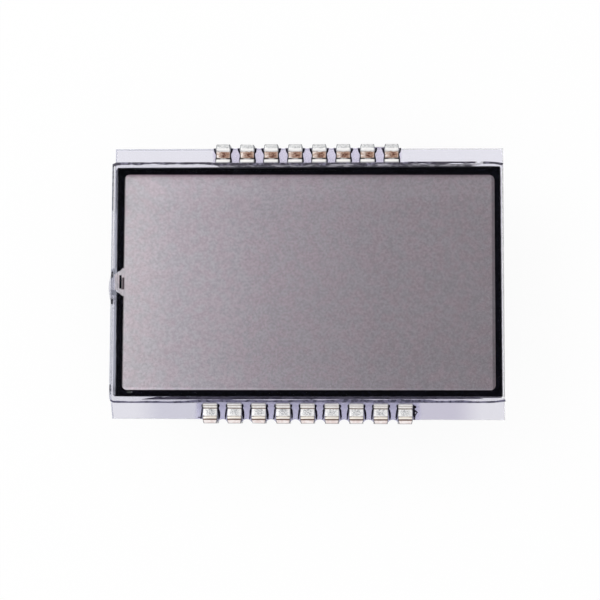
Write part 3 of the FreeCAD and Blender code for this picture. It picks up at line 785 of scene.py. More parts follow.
# Apart from the mottle, each factor here is painted light or shade: brighter towards the top, the frame's
# shade at the top, right and left, a bright line at the foot, and lifts near the top and the foot; the last
# one is the dimming in the fill port.
level = product(
    tree,
    ramp_mm(tree, at["Y"], -13, 13, 0.99, 1.09),
    mottle,
    maths(tree, "SUBTRACT", 1.0, maths(tree, "MULTIPLY", shade, SHADE_DEPTH)),
    ramp(tree, at["X"], right - 0.36 * MM, right - 0.24 * MM, 1.0, 0.60),
    left_edge_shade,
    ramp(tree, at["Y"], foot + 0.14 * MM, foot + 0.26 * MM, 1.25, 1.0),
    ramp_mm(tree, at["Y"], 7.5, 10.5, 1.0, 1.11),
    ramp_mm(tree, at["Y"], -11.0, -8.0, 1.09, 1.0),
    maths(tree, "SUBTRACT", 1.0, maths(tree, "MULTIPLY", port_dimming, DIM_DEPTH)),
)
colour = vector_maths(tree, "MULTIPLY", tone.outputs[0], mauve)
wire(tree, vector_maths(tree, "SCALE", colour, level), shader.inputs["Base Color"])
surface(tree, shader, output)
crystal.data.materials.append(material)
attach(crystal, "root")
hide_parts("liquid_crystal")

# Common transfer dots
# Two dabs of silver-filled paste in the line of the seal. They join the electrodes of
# the two plates, and one shows as a grey spot near the lower left corner.
DOT_THICKNESS = 0.8
SILVER_DARK = (0.16, 0.16, 0.18)
SILVER_PALE = (0.30, 0.30, 0.32)
SILVER_COVERED = (0.004, 0.004, 0.007)
dots = copy_of("common_transfer_dots", "transfer_dots")
thin_down(dots, DOT_THICKNESS)
material, tree, output = new_material("silver_paste")
shader = principled(tree)
fleck = grain(tree, 0.05 * MM, 3)
silver = blend(tree, ramp(tree, fleck, 0.4, 0.6), SILVER_DARK, SILVER_PALE)
covered = maths(tree, "SUBTRACT", under_film(tree), thin_patch(tree))
wire(tree, blend(tree, covered, silver, SILVER_COVERED), shader.inputs["Base Color"])
roughen(tree, shader, fleck, 0.3, 0.6)
shader.inputs["Specular IOR Level"].default_value = 0.0
surface(tree, shader, output)
dots.data.materials.append(material)
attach(dots, "root")
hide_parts("common_transfer_dots")

# Polarising films
# Two smooth grey films of 0.2 mm, glued to the outer faces of the plates. The front one
# was laid on slightly turned, and its edges were cut with a blade.
FILM_GREY = (0.008, 0.008, 0.010, 1)


def film_material(name, opacity, roughness):
    """Grey film that one can see through, with a few faint wipe marks."""
    material, tree, output = new_material(name)
    film = principled(tree)
    film.inputs["Base Color"].default_value = FILM_GREY
    wipes = grain(tree, 3.0 * MM, 4, stretch=(1, 3, 1))
    roughen(tree, film, wipes, 0.6 * roughness, 1.4 * roughness)
    clear = tree.nodes.new("ShaderNodeBsdfTransparent")
    cover = ramp(tree, wipes, 0.0, 1.0, opacity * 0.97, opacity * 1.03)
    surface(tree, mixed(tree, cover, clear, film), output)
    return material


CUT_DARK = (0.02, 0.02, 0.025)
CUT_PALE = (0.10, 0.10, 0.12)


def cut_edge_material(name):
    """The blade-cut edge of a film: dark, with fine upright marks."""
    material, tree, output = new_material(name)
    shader = principled(tree)
    marks = grain(tree, 0.08 * MM, 2, stretch=(1, 1, 0.1))
    wire(tree, blend(tree, marks, CUT_DARK, CUT_PALE), shader.inputs["Base Color"])
    roughen(tree, shader, marks, 0.35, 0.6)
    surface(tree, shader, output)
    return material


def open_flat(piece, degrees):
    """Starts edit mode on a copied node, with its loose triangles joined to flat faces."""
    edit_all(piece)
    bpy.ops.mesh.dissolve_limited(angle_limit=math.radians(degrees))


def on_outer_rim(edge, middle, glass_side):
    """True if an edge is a sharp one on the side of a film that faces away from its plate."""
    sharp = not edge.is_boundary and abs(edge.calc_face_angle_signed()) > 1
    return sharp and all((vertex.co.z - middle) * glass_side < 0 for vertex in edge.verts)


CLEARANCE = 0.001 * MM
FILM_ROUNDING = 0.015 * MM
film_face = film_material("polarising_film", 0.07, 0.05)
film_edge = cut_edge_material("cut_film_edge")
for node, name, glass_side in (("front_polariser", "front_film", -1), ("rear_polariser", "rear_film", 1)):
    film = copy_of(node, name)
    open_flat(film, 1)
    low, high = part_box(node)
    middle = (low.z + high.z) / 2
    pick("FACE", lambda f: abs(f.normal.z) > 0.9 and (f.calc_center_median().z - middle) * glass_side > 0)
    bpy.ops.transform.translate(value=(0, 0, -glass_side * CLEARANCE))
    pick("EDGE", lambda e: on_outer_rim(e, middle, glass_side))
    bpy.ops.mesh.bevel(offset=FILM_ROUNDING, offset_type="OFFSET", segments=2, affect="EDGES")
    done()
    film.data.materials.append(film_face)
    film.data.materials.append(film_edge)
    for face in film.data.polygons:
        face.material_index = 0 if abs(face.normal.z) > 0.8 else 1
    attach(film, "root")
    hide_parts(node)

# Rear reflector
# A metallised film behind the rear polariser, satin so that it scatters the light evenly.
REFLECTOR_ROUNDING = 0.01 * MM
SATIN_DARK = (0.52, 0.53, 0.55)
SATIN_PALE = (0.70, 0.71, 0.73)
reflector = copy_of("rear_reflector", "reflector_film")
low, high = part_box("rear_reflector")
middle = (low.z + high.z) / 2
open_flat(reflector, 1)
pick("FACE", lambda f: f.normal.z > 0.9)
bpy.ops.transform.translate(value=(0, 0, -CLEARANCE))
pick("EDGE", lambda e: e.verts[0].co.z < middle and e.verts[1].co.z < middle)
bpy.ops.mesh.bevel(offset=REFLECTOR_ROUNDING, offset_type="OFFSET", segments=2, affect="EDGES")
done()
material, tree, output = new_material("satin_reflector")
shader = principled(tree)
shader.inputs["Metallic"].default_value = 1
satin = grain(tree, 0.06 * MM, 3)
cloud = grain(tree, 7 * MM, 3, seed=(2, 5, 1))
wire(tree, blend(tree, cloud, SATIN_DARK, SATIN_PALE), shader.inputs["Base Color"])
wire(tree, ramp(tree, satin, 0.25, 0.75, 0.32, 0.48), shader.inputs["Roughness"])
emboss(tree, shader, satin, 0.25, 0.01 * MM)
surface(tree, shader, output)
reflector.data.materials.append(material)
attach(reflector, "root")
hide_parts("rear_reflector")

# Fill port plug
# A dab of clear resin that closed the fill port after filling. It wet both plates, and it
# is darker in blotches towards its ends.
PLUG_TUCK = 0.003 * MM
PLUG_MIDDLE = -0.57 * MM
PLUG_CLEAR = (0.72, 0.71, 0.78)
PLUG_OUTER = (0.50, 0.52, 0.57)
PLUG_DARK = (0.02, 0.02, 0.035)
PLUG_COVER = 0.35
plug = copy_of("fill_port_plug", "port_plug")
edit_all(plug)
bpy.ops.transform.shrink_fatten(value=-PLUG_TUCK)
done()
bpy.ops.object.shade_smooth_by_angle(angle=math.radians(40))
material, tree, output = new_material("plug_resin")
shader = principled(tree)
at = place_of(tree)
# A grain that sets where the resin is darker, and how rough it is.
blotches = grain(tree, 0.25 * MM, 3, seed=(4, 1, 6))
away = distance(tree, at["Y"], PLUG_MIDDLE)
ends = ramp_mm(tree, away, 0.75, 1.45, -0.12, 0.32)
dark = ramp(tree, maths(tree, "ADD", blotches, ends), 0.56, 0.70)
dark = product(tree, dark, ramp_mm(tree, at["X"], -20.60, -20.44, 1, 0))
outer = ramp_mm(tree, at["X"], -20.98, -20.80, 1, 0)
resin = blend(tree, outer, PLUG_CLEAR, PLUG_OUTER)
wire(tree, blend(tree, dark, resin, PLUG_DARK), shader.inputs["Base Color"])
roughen(tree, shader, blotches, 0.08, 0.3)
clear = tree.nodes.new("ShaderNodeBsdfTransparent")
clear.inputs["Color"].default_value = (0.93, 0.93, 0.96, 1)
cover = maths(tree, "ADD", product(tree, dark, 0.65), product(tree, outer, 0.15))
cover = maths(tree, "ADD", cover, PLUG_COVER)
surface(tree, mixed(tree, cover, clear, shader), output)
plug.data.materials.append(material)
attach(plug, "root")
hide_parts("fill_port_plug")

# Pins
# Clips stamped from tinned bronze strip, bent over the ledge and under the rear glass.
# Age and handling wore the upper row's jaws to the copper-brown bronze. Their colours
# also hold painted highlights, reflections and shade.
PITCH = 2.54 * MM
CLIP_HALF = 0.75 * MM
ROW_SHIFT = {1: -0.13 * MM, -1: 0.0}
SLANTS = {("lower", 3): -0.10 * MM, ("lower", 7): 0.10 * MM, ("lower", 5): 0.05 * MM, ("upper", 2): 0.05 * MM}
DRAWN_IN = 0.09
BEND_FROM = 0.12 * MM
BEND_TO = 0.34 * MM
BEND_FOOT = 0.3 * MM
SHEARED_ROUNDING = 0.03 * MM


def pin_middle(side, n, count):
    """The X of a pin's middle; side is 1 for the upper row and -1 for the lower one."""
    return ROW_SHIFT[side] + (n - (count + 1) / 2) * PITCH


def glass_edge(side):
    """How far the rear glass's edge lies from Y = 0 at one row."""
    return rear_high.y if side > 0 else -rear_low.y


def smooth(value, low, high):
    """0 below low, 1 above high, and smooth between them."""
    t = limited((value - low) / (high - low))
    return t * t * (3 - 2 * t)


def finish_strip(piece, side, middle, slant):
    """Joins a pin's loose triangles to flat faces, draws its shoulders in, sets its outer
    bend a little askew and rounds its sheared edges."""
    open_flat(piece, 0.5)
    done()
    for vertex in piece.data.vertices:
        at = vertex.co
        outward = side * at.y - glass_edge(side)
        bend = smooth(outward, BEND_FROM, BEND_TO) * smooth(at.z, rear_low.z + BEND_FOOT, rear_high.z)
        u = at.x - middle
        at.x = middle + u * (1 - DRAWN_IN * bend)
        at.y -= side * bend * max(0.0, slant * u / CLIP_HALF)
    rounding = piece.modifiers.new("sheared_edges", "BEVEL")
    rounding.width = SHEARED_ROUNDING
    rounding.segments = 2
    rounding.limit_method = "ANGLE"
    rounding.angle_limit = math.radians(50)
    bpy.ops.object.modifier_apply(modifier="sheared_edges")
    bpy.ops.object.shade_smooth_by_angle(angle=math.radians(35))


def across_pin(tree, side):
    """How far a point lies to the right of the middle of its own pin, in metres."""
    steps = maths(tree, "DIVIDE", maths(tree, "SUBTRACT", place_of(tree)["X"], ROW_SHIFT[side]), PITCH)
    if side < 0:
        steps = maths(tree, "ADD", steps, 0.5)
    return swing(tree, maths(tree, "FRACT", steps), PITCH)


def past_glass_edge(tree, side):
    """How far a point lies inward of the rear glass's edge, in metres."""
    return maths(tree, "SUBTRACT", glass_edge(side), maths(tree, "MULTIPLY", place_of(tree)["Y"], side))


def above_ledge(tree):
    """1 on the part of a pin that lies over the ledge, and 0 below it."""
    soft = 0.02 * MM
    return ramp(tree, place_of(tree)["Z"], rear_high.z - soft, rear_high.z + soft)


def between(tree, value, first, last, soft):
    """1 where a length in metres lies between two others in millimetres, with soft ends."""
    start = ramp_mm(tree, value, first - soft, first + soft)
    return product(tree, start, ramp_mm(tree, value, last - soft, last + soft, 1, 0))


def on_lip_of(tree, above, inward):
    """1 on the flared end of the jaw."""
    return product(tree, above, between(tree, inward, 1.20, 2.5, 0.03))


# Painted shade along the sides and the outer face of each pin.
SIDE_SHADE = (0.10, 0.11, 0.13)
OUTER_SHADE = (0.20, 0.19, 0.20)
LEG_TIN = ((0.34, 0.345, 0.36), (0.56, 0.555, 0.54))


def shade_outline(tree, colour, u, inward, outer):
    """Darker colour along the sheared sides and the outer face of a pin: painted shade, where
    they turn away from the light.
    """
    wider = ramp_mm(tree, inward, -0.34, -0.12, 1.10, 1.0)
    side = ramp_mm(tree, product(tree, maths(tree, "ABSOLUTE", u), wider), 0.63, 0.71, 0, 0.78)
    jaw = ramp_mm(tree, inward, 0.0, 0.3, 1.0, 0.45)
    colour = blend(tree, product(tree, side, jaw), colour, SIDE_SHADE)
    return blend(tree, ramp_mm(tree, inward, -0.41, -0.35, outer, 0), colour, OUTER_SHADE)


def finish_metal(tree, jaw, above, on_lip, fine, broad, output):
    """Tin that time has dulled: bare on the legs, and a little matt and white on the lip. The
    lip's matt colour is a painted reflection of the bright room.
    """
    shader = principled(tree)
    wire(tree, ramp(tree, on_lip, 0, 1, 1.0, 0.08), shader.inputs["Metallic"])
    wire(tree, blend(tree, above, blend(tree, broad, *LEG_TIN), jaw), shader.inputs["Base Color"])
    roughen(tree, shader, broad, 0.30, 0.46)
    emboss(tree, shader, maths(tree, "ADD", broad, product(tree, fine, 0.5)), 0.35, 0.015 * MM)
    surface(tree, shader, output)


BEND_TIN = ((0.44, 0.45, 0.46), (0.88, 0.88, 0.88))
# Painted highlight: the white band on the crest.
CREST_HIGHLIGHT = (1.0, 0.99, 0.98)
BRONZE = ((0.32, 0.165, 0.105), (0.64, 0.44, 0.34))
BRONZE_CORE = (0.13, 0.05, 0.04)
BRONZE_PALE = (0.95, 0.87, 0.83)
BRONZE_RIGHT = (0.80, 0.68, 0.62)
# Painted shade: the dark line at the foot of the crest.
CREST_FOOT_SHADE = (0.25, 0.15, 0.11)
# Painted shade in the crease.
CREASE_SHADE = (0.05, 0.04, 0.042)
# Painted reflection: the white of the lip.
LIP_REFLECTION_WHITE = (1.0, 0.995, 0.98)


def worn_material():
    """The upper row: grey tin outside with a painted highlight on its crest, copper-brown
    bronze in the jaw, painted shade lines at the crest's foot and in the crease, and a white
    lip that is a painted reflection.
    """
    material, tree, output = new_material("worn_tinned_bronze")
    u = across_pin(tree, 1)
    inward = past_glass_edge(tree, 1)
    above = above_ledge(tree)
    fine = grain(tree, 0.10 * MM, 3)
    broad = grain(tree, 0.42 * MM, 3, seed=(1.7, 4, 2))
    ragged = swing(tree, broad, 0.5 * MM)
    drifted = maths(tree, "ADD", u, ragged)
    deep = maths(tree, "ADD", inward, product(tree, ragged, 0.35))
    colour = blend(tree, ramp(tree, fine, 0.36, 0.60), *BEND_TIN)
    colour = blend(tree, between(tree, deep, 0.04, 0.36, 0.05), colour, CREST_HIGHLIGHT)
    brown = blend(tree, ramp(tree, fine, LOW_GRAIN, HIGH_GRAIN), *BRONZE)
    streaks = grain(tree, 0.22 * MM, 4, seed=(3, 8, 1), stretch=(0.7, 1.3, 1))
    heart = distance(tree, drifted, 0.12 * MM)
    core = product(
        tree,
        ramp_mm(tree, heart, 0.1, 0.6, 1, 0),
        between(tree, deep, 0.5, 1.0, 0.15),
        ramp(tree, streaks, 0.42, 0.56, 0.2, 1.0),
    )
    brown = blend(tree, core, brown, BRONZE_CORE)
    pale = ramp_mm(tree, drifted, -0.70, 0.05, 1.0, 0.0)
    pale = product(tree, pale, ramp(tree, streaks, 0.40, 0.54, 1.0, 0.3))
    brown = blend(tree, pale, brown, BRONZE_PALE)
    brown = blend(tree, ramp_mm(tree, drifted, 0.45, 0.78, 0.0, 0.5), brown, BRONZE_RIGHT)
    colour = blend(tree, between(tree, deep, 0.40, 1.06, 0.05), colour, brown)
    edge_line = between(tree, deep, 0.37, 0.42, 0.025)
    colour = blend(tree, product(tree, edge_line, 0.55), colour, CREST_FOOT_SHADE)
    crease = between(tree, inward, 1.03, 1.17, 0.04)
    ends = ramp_mm(tree, maths(tree, "ABSOLUTE", drifted), 0.15, 0.50, 0.30, 1.0)
    colour = blend(tree, product(tree, crease, ends), colour, CREASE_SHADE)
    on_lip = on_lip_of(tree, above, inward)
    colour = blend(tree, on_lip, colour, LIP_REFLECTION_WHITE)
    colour = shade_outline(tree, colour, u, inward, 0.35)
    finish_metal(tree, colour, above, on_lip, fine, broad, output)
    return material


BRIGHT_TIN = ((0.88, 0.87, 0.87), (1.0, 0.99, 0.985))
# Painted reflection: grey patches where resin drops on the jaw mirror the room unevenly.
DROP_REFLECTION_GREY = (0.38, 0.39, 0.42)
CREAM = (0.98, 0.90, 0.79)
# Painted reflection: the pink on the outer bend.
PINK_REFLECTION = ((0.82, 0.70, 0.68), (0.97, 0.90, 0.89))
# Painted highlight at the tip of the lip.
TIP_HIGHLIGHT = (1.0, 0.97, 0.965)
STAIN = (0.62, 0.52, 0.42)
# Painted shade: brown lines in the bends and the crease of the lower pins.
BEND_SHADE = (0.14, 0.075, 0.05)
SHADE_LINES = ((-0.09, 0.07, 0.95), (1.08, 1.17, 0.9), (1.38, 1.46, 0.75))


def tinned_material():
    """The lower row: bright tin with grey blotches of painted reflection, a pink painted
    reflection on its outer bend, a painted highlight at its tip, and brown painted shade
    lines in its bends.
    """
    material, tree, output = new_material("bright_tinned_bronze")
    u = across_pin(tree, -1)
    inward = past_glass_edge(tree, -1)
    above = above_ledge(tree)
    fine = grain(tree, 0.10 * MM, 3, seed=(5, 2, 8))
    broad = grain(tree, 0.40 * MM, 3, seed=(9.3, 1, 6))
    ragged = swing(tree, broad, 0.5 * MM)
    deep = maths(tree, "ADD", inward, product(tree, ragged, 0.3))
    colour = blend(tree, ramp(tree, fine, 0.35, 0.65), *BRIGHT_TIN)
    blotch = product(tree, between(tree, deep, 0.42, 1.10, 0.15), ramp(tree, fine, 0.42, 0.56, 0.95, 0.05))
    drifted = maths(tree, "ABSOLUTE", maths(tree, "ADD", u, ragged))
    middle = ramp_mm(tree, drifted, 0.2, 0.7, 1, 0.15)
    colour = blend(tree, product(tree, blotch, middle), colour, DROP_REFLECTION_GREY)
    colour = blend(tree, product(tree, between(tree, deep, 0.10, 0.34, 0.06), 0.8), colour, CREAM)
    outer = ramp_mm(tree, inward, -0.06, -0.02, 1, 0)
    colour = blend(tree, outer, colour, blend(tree, ramp(tree, broad, 0.4, 0.6), *PINK_REFLECTION))
    tip = ramp_mm(tree, inward, 1.44, 1.50)
    colour = blend(tree, product(tree, tip, 0.8), colour, TIP_HIGHLIGHT)
    stained = product(tree, between(tree, inward, 1.17, 1.40, 0.03), ramp(tree, fine, 0.44, 0.58, 0.25, 0.0))
    colour = blend(tree, stained, colour, STAIN)
    for first, last, depth in SHADE_LINES:
        line = product(tree, between(tree, inward, first, last, 0.02), depth)
        colour = blend(tree, line, colour, BEND_SHADE)
    on_lip = on_lip_of(tree, above, inward)
    colour = shade_outline(tree, colour, u, inward, 0.7)
    finish_metal(tree, colour, above, on_lip, fine, broad, output)
    return material


worn_tin = worn_material()
bright_tin = tinned_material()
for row, count, side, material, slot in (
    ("upper", 8, 1, worn_tin, "worn_pin"),
    ("lower", 9, -1, bright_tin, "tinned_pin"),
):
    for n in range(1, count + 1):
        node = "%s_pin_%d" % (row, n)
        pin = copy_of(node, "%s_clip_%d" % (row, n))
        finish_strip(pin, side, pin_middle(side, n, count), SLANTS.get((row, n), 0.0))
        pin.data.materials.append(material)
        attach(pin, "root")
        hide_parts(node)

# Pin adhesive
# Clear resin that locks each row: a thin layer on the ledge that climbs the sides of
# the pins. Its steep rims turn the light away and look black from above.
LAYER = 0.12 * MM
SPARE_FROM = 0.45 * MM
SPARE_TO = 0.25 * MM
CLEAR_RESIN = (1.0, 1.0, 1.0)


def resin_material(name, side, tint, opacity, half, fade):
    """Clear resin with a violet cast, which thins out to nothing at the ends of its row."""
    material, tree, output = new_material(name)
    shader = principled(tree)
    shader.inputs["Base Color"].default_value = (*tint, 1)
    shader.inputs["Roughness"].default_value = 0.15
    cloud = grain(tree, 0.8 * MM, 3)
    off = distance(tree, place_of(tree)["X"], ROW_SHIFT[side])
    off = maths(tree, "ADD", off, swing(tree, cloud, 0.4 * MM))
    body = ramp(tree, off, half, half + fade, 1, 0)
    spare = ramp(tree, off, half - SPARE_FROM, half - SPARE_TO)
    spare = product(tree, spare, ramp_mm(tree, past_glass_edge(tree, side), -0.03, 0.03, 1, 0))
    body = product(tree, body, maths(tree, "SUBTRACT", 1.0, spare))
    clear = tree.nodes.new("ShaderNodeBsdfTransparent")
    wire(tree, blend(tree, body, CLEAR_RESIN, tint), clear.inputs["Color"])
    cover = ramp(tree, cloud, LOW_GRAIN, HIGH_GRAIN, opacity * 0.85, opacity * 1.15)
    mix = mixed(tree, product(tree, body, cover), clear, shader)
    surface(tree, mix, output)
    return material


RIM_BLACK = ((0.001, 0.001, 0.003), (0.012, 0.012, 0.022))
black_rim, tree, output = new_material("steep_resin_rim")
shader = principled(tree)
wire(tree, blend(tree, grain(tree, 0.2 * MM, 3), *RIM_BLACK), shader.inputs["Base Color"])
shader.inputs["Roughness"].default_value = 0.4
shader.inputs["Specular IOR Level"].default_value = 0.08
surface(tree, shader, output)
# The resin's violet cast is its own; the lower row's deeper violet is painted shade.
upper_resin = resin_material("upper_pin_resin", 1, (0.89, 0.87, 0.94), 0.20, 9.72 * MM, 0.35 * MM)
lower_resin = resin_material("lower_pin_resin", -1, (0.79, 0.78, 0.89), 0.30, 11.15 * MM, 0.8 * MM)


def join(pieces):
    """Makes one piece of several, the first one's."""
    bpy.ops.object.select_all(action="DESELECT")
    for piece in pieces:
        piece.select_set(True)
    bpy.context.view_layer.objects.active = pieces[0]
    bpy.ops.object.join()
    return pieces[0]


RIM_REACH = 1.55 * MM
RIM_HEIGHT = 0.22 * MM
RIM_LIFT = 0.01 * MM
RIM_ROWS = {0.0: 0.0, 0.5: 0.45, 1.0: 1.0}
RIM_WAVE = 0.7 * MM


def rim(name, foot, top, side, pin_x, hand):
    """A sliver of resin up one side of a pin. foot and top list its widths in millimetres,
    from the glass edge inward, and hand is the pin's side, 1 for the right."""
    steps = len(foot) - 1
    bpy.ops.mesh.primitive_grid_add(x_subdivisions=2, y_subdivisions=steps, size=1)
    piece = bpy.context.object
    piece.name = name
    for vertex in piece.data.vertices:
        inward = vertex.co.y + 0.5
        n = round(inward * steps)
        share = RIM_ROWS[round(vertex.co.x + 0.5, 1)]
        varied = 1 + 0.25 * noise.noise(Vector((pin_x / RIM_WAVE, 24.0 * n / steps, hand * 5.0)))
        width = top[n] + (foot[n] * varied - top[n]) * share
        vertex.co.x = pin_x + hand * (CLIP_HALF + width * MM)
        vertex.co.y = side * (glass_edge(side) - inward * RIM_REACH)
        vertex.co.z = rear_high.z + LAYER + RIM_LIFT + RIM_HEIGHT * (1 - share) ** 1.5
    settle(piece)
    edit_all(piece)
    bpy.ops.mesh.normals_make_consistent(inside=False)
    done()
    return piece


UPPER_RIGHT = (
    [0.27, 0.26, 0.20, 0.06, 0.07, 0.11, 0.15, 0.17, 0.15],
    [0.07, 0.05, 0.01] + [-0.02] * 6,
)
UPPER_LEFT = (
    [0.28, 0.26, 0.20, 0.08, 0.04, 0.07, 0.10, 0.11, 0.10],
    [0.06, 0.04, 0.00] + [-0.02] * 6,
)
LOWER_RIGHT = (
    [0.24, 0.27, 0.29, 0.28, 0.26, 0.22, 0.13, 0.21, 0.19],
    [0.14, 0.12, 0.10, 0.07, 0.05, 0.03, 0.01, 0.00, 0.00],
)
LOWER_LEFT = (
    [0.25, 0.26, 0.25, 0.23, 0.21, 0.19, 0.12, 0.18, 0.15],
    [0.15, 0.11, 0.08, 0.05, 0.03, 0.02, 0.00, 0.00, 0.00],
)
LAST_RIGHT = (
    [0.24, 0.26, 0.27, 0.27, 0.28, 0.34, 0.43, 0.48, 0.49, 0.45, 0.36, 0.24, 0.22, 0.36, 0.39, 0.33, 0.15],
    [0.12, 0.11, 0.10, 0.08, 0.05, 0.03] + [0.02] * 11,
)


def dab(name, material, middle, half):
    """A small flat dab of resin."""
    bpy.ops.mesh.primitive_ico_sphere_add(subdivisions=3, radius=1, location=middle, scale=half)
    piece = bpy.context.object
    piece.name = name
    settle(piece)
    piece.data.materials.append(material)
    return piece


CREPT_HALF = 0.002 * MM
CREPT_CUTS = 90
CREPT_TAPER_RIGHT = 1.6 * MM
CREPT_RAGGED = 0.07 * MM


def crept_film(name, material, left, right, inner, outer, taper_length, tilt):
    """Resin that crept into the cell gap, outside the seal, with a ragged inner edge."""
    low = (left, min(inner, outer), GAP_MIDDLE - CREPT_HALF)
    high = (right, max(inner, outer), GAP_MIDDLE + CREPT_HALF)
    piece = block(name, low, high)
    edit(piece)
    pick("EDGE", lambda e: runs_along(e, 0))
    bpy.ops.mesh.subdivide(number_cuts=CREPT_CUTS)
    done()
    for vertex in piece.data.vertices:
        at = vertex.co
        if abs(at.y - inner) < TOUCHING:
            taper = min(1.0, (at.x - left) / taper_length, (right - at.x) / CREPT_TAPER_RIGHT)
            at.y = outer + (at.y - outer) * (0.15 + 0.85 * taper)
            at.y += CREPT_RAGGED * taper * wobble(at, 0.8 * MM, 6.1)
        at.y += tilt * at.x / right
    piece.data.materials.append(material)
    return piece


def crept_material(name, dark, pale, size):
    """The look of resin in the cell gap, where it only half wets the glass."""
    material, tree, output = new_material(name)
    shader = principled(tree)
    patch = grain(tree, size, 3, stretch=(0.4, 1, 1))
    wire(tree, blend(tree, ramp(tree, patch, 0.42, 0.62), dark, pale), shader.inputs["Base Color"])
    roughen(tree, shader, patch, 0.4, 0.6)
    shader.inputs["Specular IOR Level"].default_value = 0.0
    surface(tree, shader, output)
    return material


upper_crept = crept_material("crept_upper_resin", (0.20, 0.19, 0.23), (0.66, 0.64, 0.70), 0.35 * MM)
lower_crept = crept_material("crept_lower_resin", (0.07, 0.065, 0.095), (0.13, 0.12, 0.17), 0.5 * MM)
# The bubble's pale colour is a painted highlight.
bubble_highlight = crept_material("bubble_painted_highlight", (0.40, 0.38, 0.48), (0.62, 0.60, 0.70), 0.1 * MM)
BEAD_TUCK = 0.002 * MM
BUBBLE_AT = (11.225 * MM, -13.54 * MM, rear_high.z + LAYER + 0.06 * MM)
BUBBLE_HALF = (0.075 * MM, 0.085 * MM, 0.05 * MM)
SMEAR_AT = (-11.22 * MM, -14.10 * MM, rear_high.z + LAYER - 0.02 * MM)
SMEAR_HALF = (0.26 * MM, 0.07 * MM, 0.03 * MM)
BRIDGE_LEFT = 6.95 * MM
BRIDGE_RIGHT = 8.03 * MM
BRIDGE_REACH = 14.40 * MM
BRIDGE_DEPTH = 0.15 * MM
BRIDGE_EDGE = 0.03 * MM
for row, count, side, material, node, crept in (
    ("upper", 8, 1, upper_resin, "upper_pin_adhesive",
     (upper_crept, -9.75 * MM, 18.1 * MM, 12.20 * MM, 12.50 * MM, 0.4 * MM, 0.0)),
    ("lower", 9, -1, lower_resin, "lower_pin_adhesive",
     (lower_crept, -17.3 * MM, 18.2 * MM, -11.90 * MM, -12.18 * MM, 1.6 * MM, 0.10 * MM)),
):
    bead = copy_of(node, row + "_resin_bead")
    edit_all(bead)
    bpy.ops.transform.shrink_fatten(value=-BEAD_TUCK)
    done()
    bead.data.materials.append(material)
    bead.data.materials.append(black_rim)
    pieces = [bead, crept_film(row + "_crept_film", *crept)]
    for n in range(1, count + 1):
        right, left = (UPPER_RIGHT, UPPER_LEFT) if side > 0 else (LOWER_RIGHT, LOWER_LEFT)
        if side < 0 and n == count:
            right = LAST_RIGHT
        for hand, (foot, top) in ((1, right), (-1, left)):
            sliver = rim("rim", foot, top, side, pin_middle(side, n, count), hand)
            sliver.data.materials.append(black_rim)
            pieces.append(sliver)
    if side < 0:
        pieces.append(dab("bubble", bubble_highlight, BUBBLE_AT, BUBBLE_HALF))
        pieces.append(dab("smear", lower_crept, SMEAR_AT, SMEAR_HALF))
    else:
        foot = rear_high.z - BRIDGE_DEPTH
        bridge = block("bridge", (BRIDGE_LEFT, rear_high.y, foot), (BRIDGE_RIGHT, BRIDGE_REACH, rear_high.z))
        bridge.data.materials.append(upper_resin)
        edge_corner = (BRIDGE_RIGHT, BRIDGE_REACH + BRIDGE_EDGE, rear_high.z)
        edge = block("bridge_edge", (BRIDGE_LEFT, BRIDGE_REACH, foot), edge_corner)
        edge.data.materials.append(lower_crept)
        pieces += [bridge, edge]
    bead = join(pieces)
    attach(bead, "root")
    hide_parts(node)

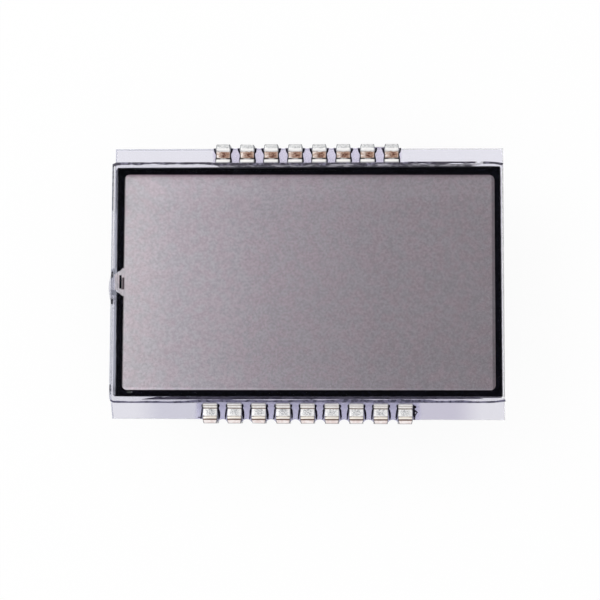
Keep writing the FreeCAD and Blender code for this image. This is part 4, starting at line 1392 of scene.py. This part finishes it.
# Floor
# A plain white table. What the camera, a reflection or the glass sees of it is close
# to white, and it keeps a soft shadow of the part.
FLOOR_SIZE = 3
FLOOR_WHITE = (0.9, 0.9, 0.9, 1)
FLOOR_GLOW = 0.9
bpy.ops.mesh.primitive_plane_add(size=FLOOR_SIZE, location=(0, 0, 0))
floor = bpy.context.object
floor.name = "white_table"
material, tree, output = new_material("white_table_top")
paint = tree.nodes.new("ShaderNodeBsdfDiffuse")
paint.inputs["Color"].default_value = FLOOR_WHITE
white = tree.nodes.new("ShaderNodeEmission")
white.inputs["Strength"].default_value = 1.0
path = tree.nodes.new("ShaderNodeLightPath")
seen = maths(tree, "MAXIMUM", path.outputs["Is Camera Ray"], path.outputs["Is Glossy Ray"])
seen = maths(tree, "MAXIMUM", seen, path.outputs["Is Transmission Ray"])
mix = mixed(tree, product(tree, seen, FLOOR_GLOW), paint, white)
surface(tree, mix, output)
floor.data.materials.append(material)

# Light
# A pale room with one large soft lamp, and a dark panel overhead, behind the camera,
# that the display mirrors.
PANEL_MIDDLE = (-0.033, 0.092)
PANEL_HALF = (0.150, 0.097)
PANEL_SOFT = 0.02
PANEL_DARK = (0.01, 0.01, 0.012)
ROOM_WHITE = (1.0, 1.0, 1.0)
ROOM_STRENGTH = 0.95
world = bpy.data.worlds.new("pale_room")
bpy.context.scene.world = world
world.use_nodes = True
tree = world.node_tree
tree.nodes.clear()
output = tree.nodes.new("ShaderNodeOutputWorld")
room = tree.nodes.new("ShaderNodeBackground")
direction = tree.nodes.new("ShaderNodeTexCoord")
split = tree.nodes.new("ShaderNodeSeparateXYZ")
wire(tree, direction.outputs["Generated"], split.inputs[0])
up = maths(tree, "MAXIMUM", split.outputs["Z"], 0.001)
panel = 1.0
for axis, middle, half in zip("XY", PANEL_MIDDLE, PANEL_HALF):
    slope = maths(tree, "DIVIDE", split.outputs[axis], up)
    off = distance(tree, slope, middle)
    panel = maths(tree, "MULTIPLY", ramp(tree, off, half, half + PANEL_SOFT, 1, 0), panel)
wire(tree, blend(tree, panel, ROOM_WHITE, PANEL_DARK), room.inputs["Color"])
room.inputs["Strength"].default_value = ROOM_STRENGTH
surface(tree, room, output)

LAMP_PLACE = Vector((-0.42, 0.20, 0.34))
LAMP_SIZE = 0.36
LAMP_ENERGY = 0.9
bpy.ops.object.light_add(type="AREA", location=LAMP_PLACE)
lamp = bpy.context.object
lamp.name = "soft_lamp"
lamp.data.shape = "DISK"
lamp.data.size = LAMP_SIZE
lamp.data.energy = LAMP_ENERGY
lamp.rotation_euler = (-LAMP_PLACE).to_track_quat("-Z", "Y").to_euler()

view = bpy.context.scene.view_settings
view.view_transform = "Standard"
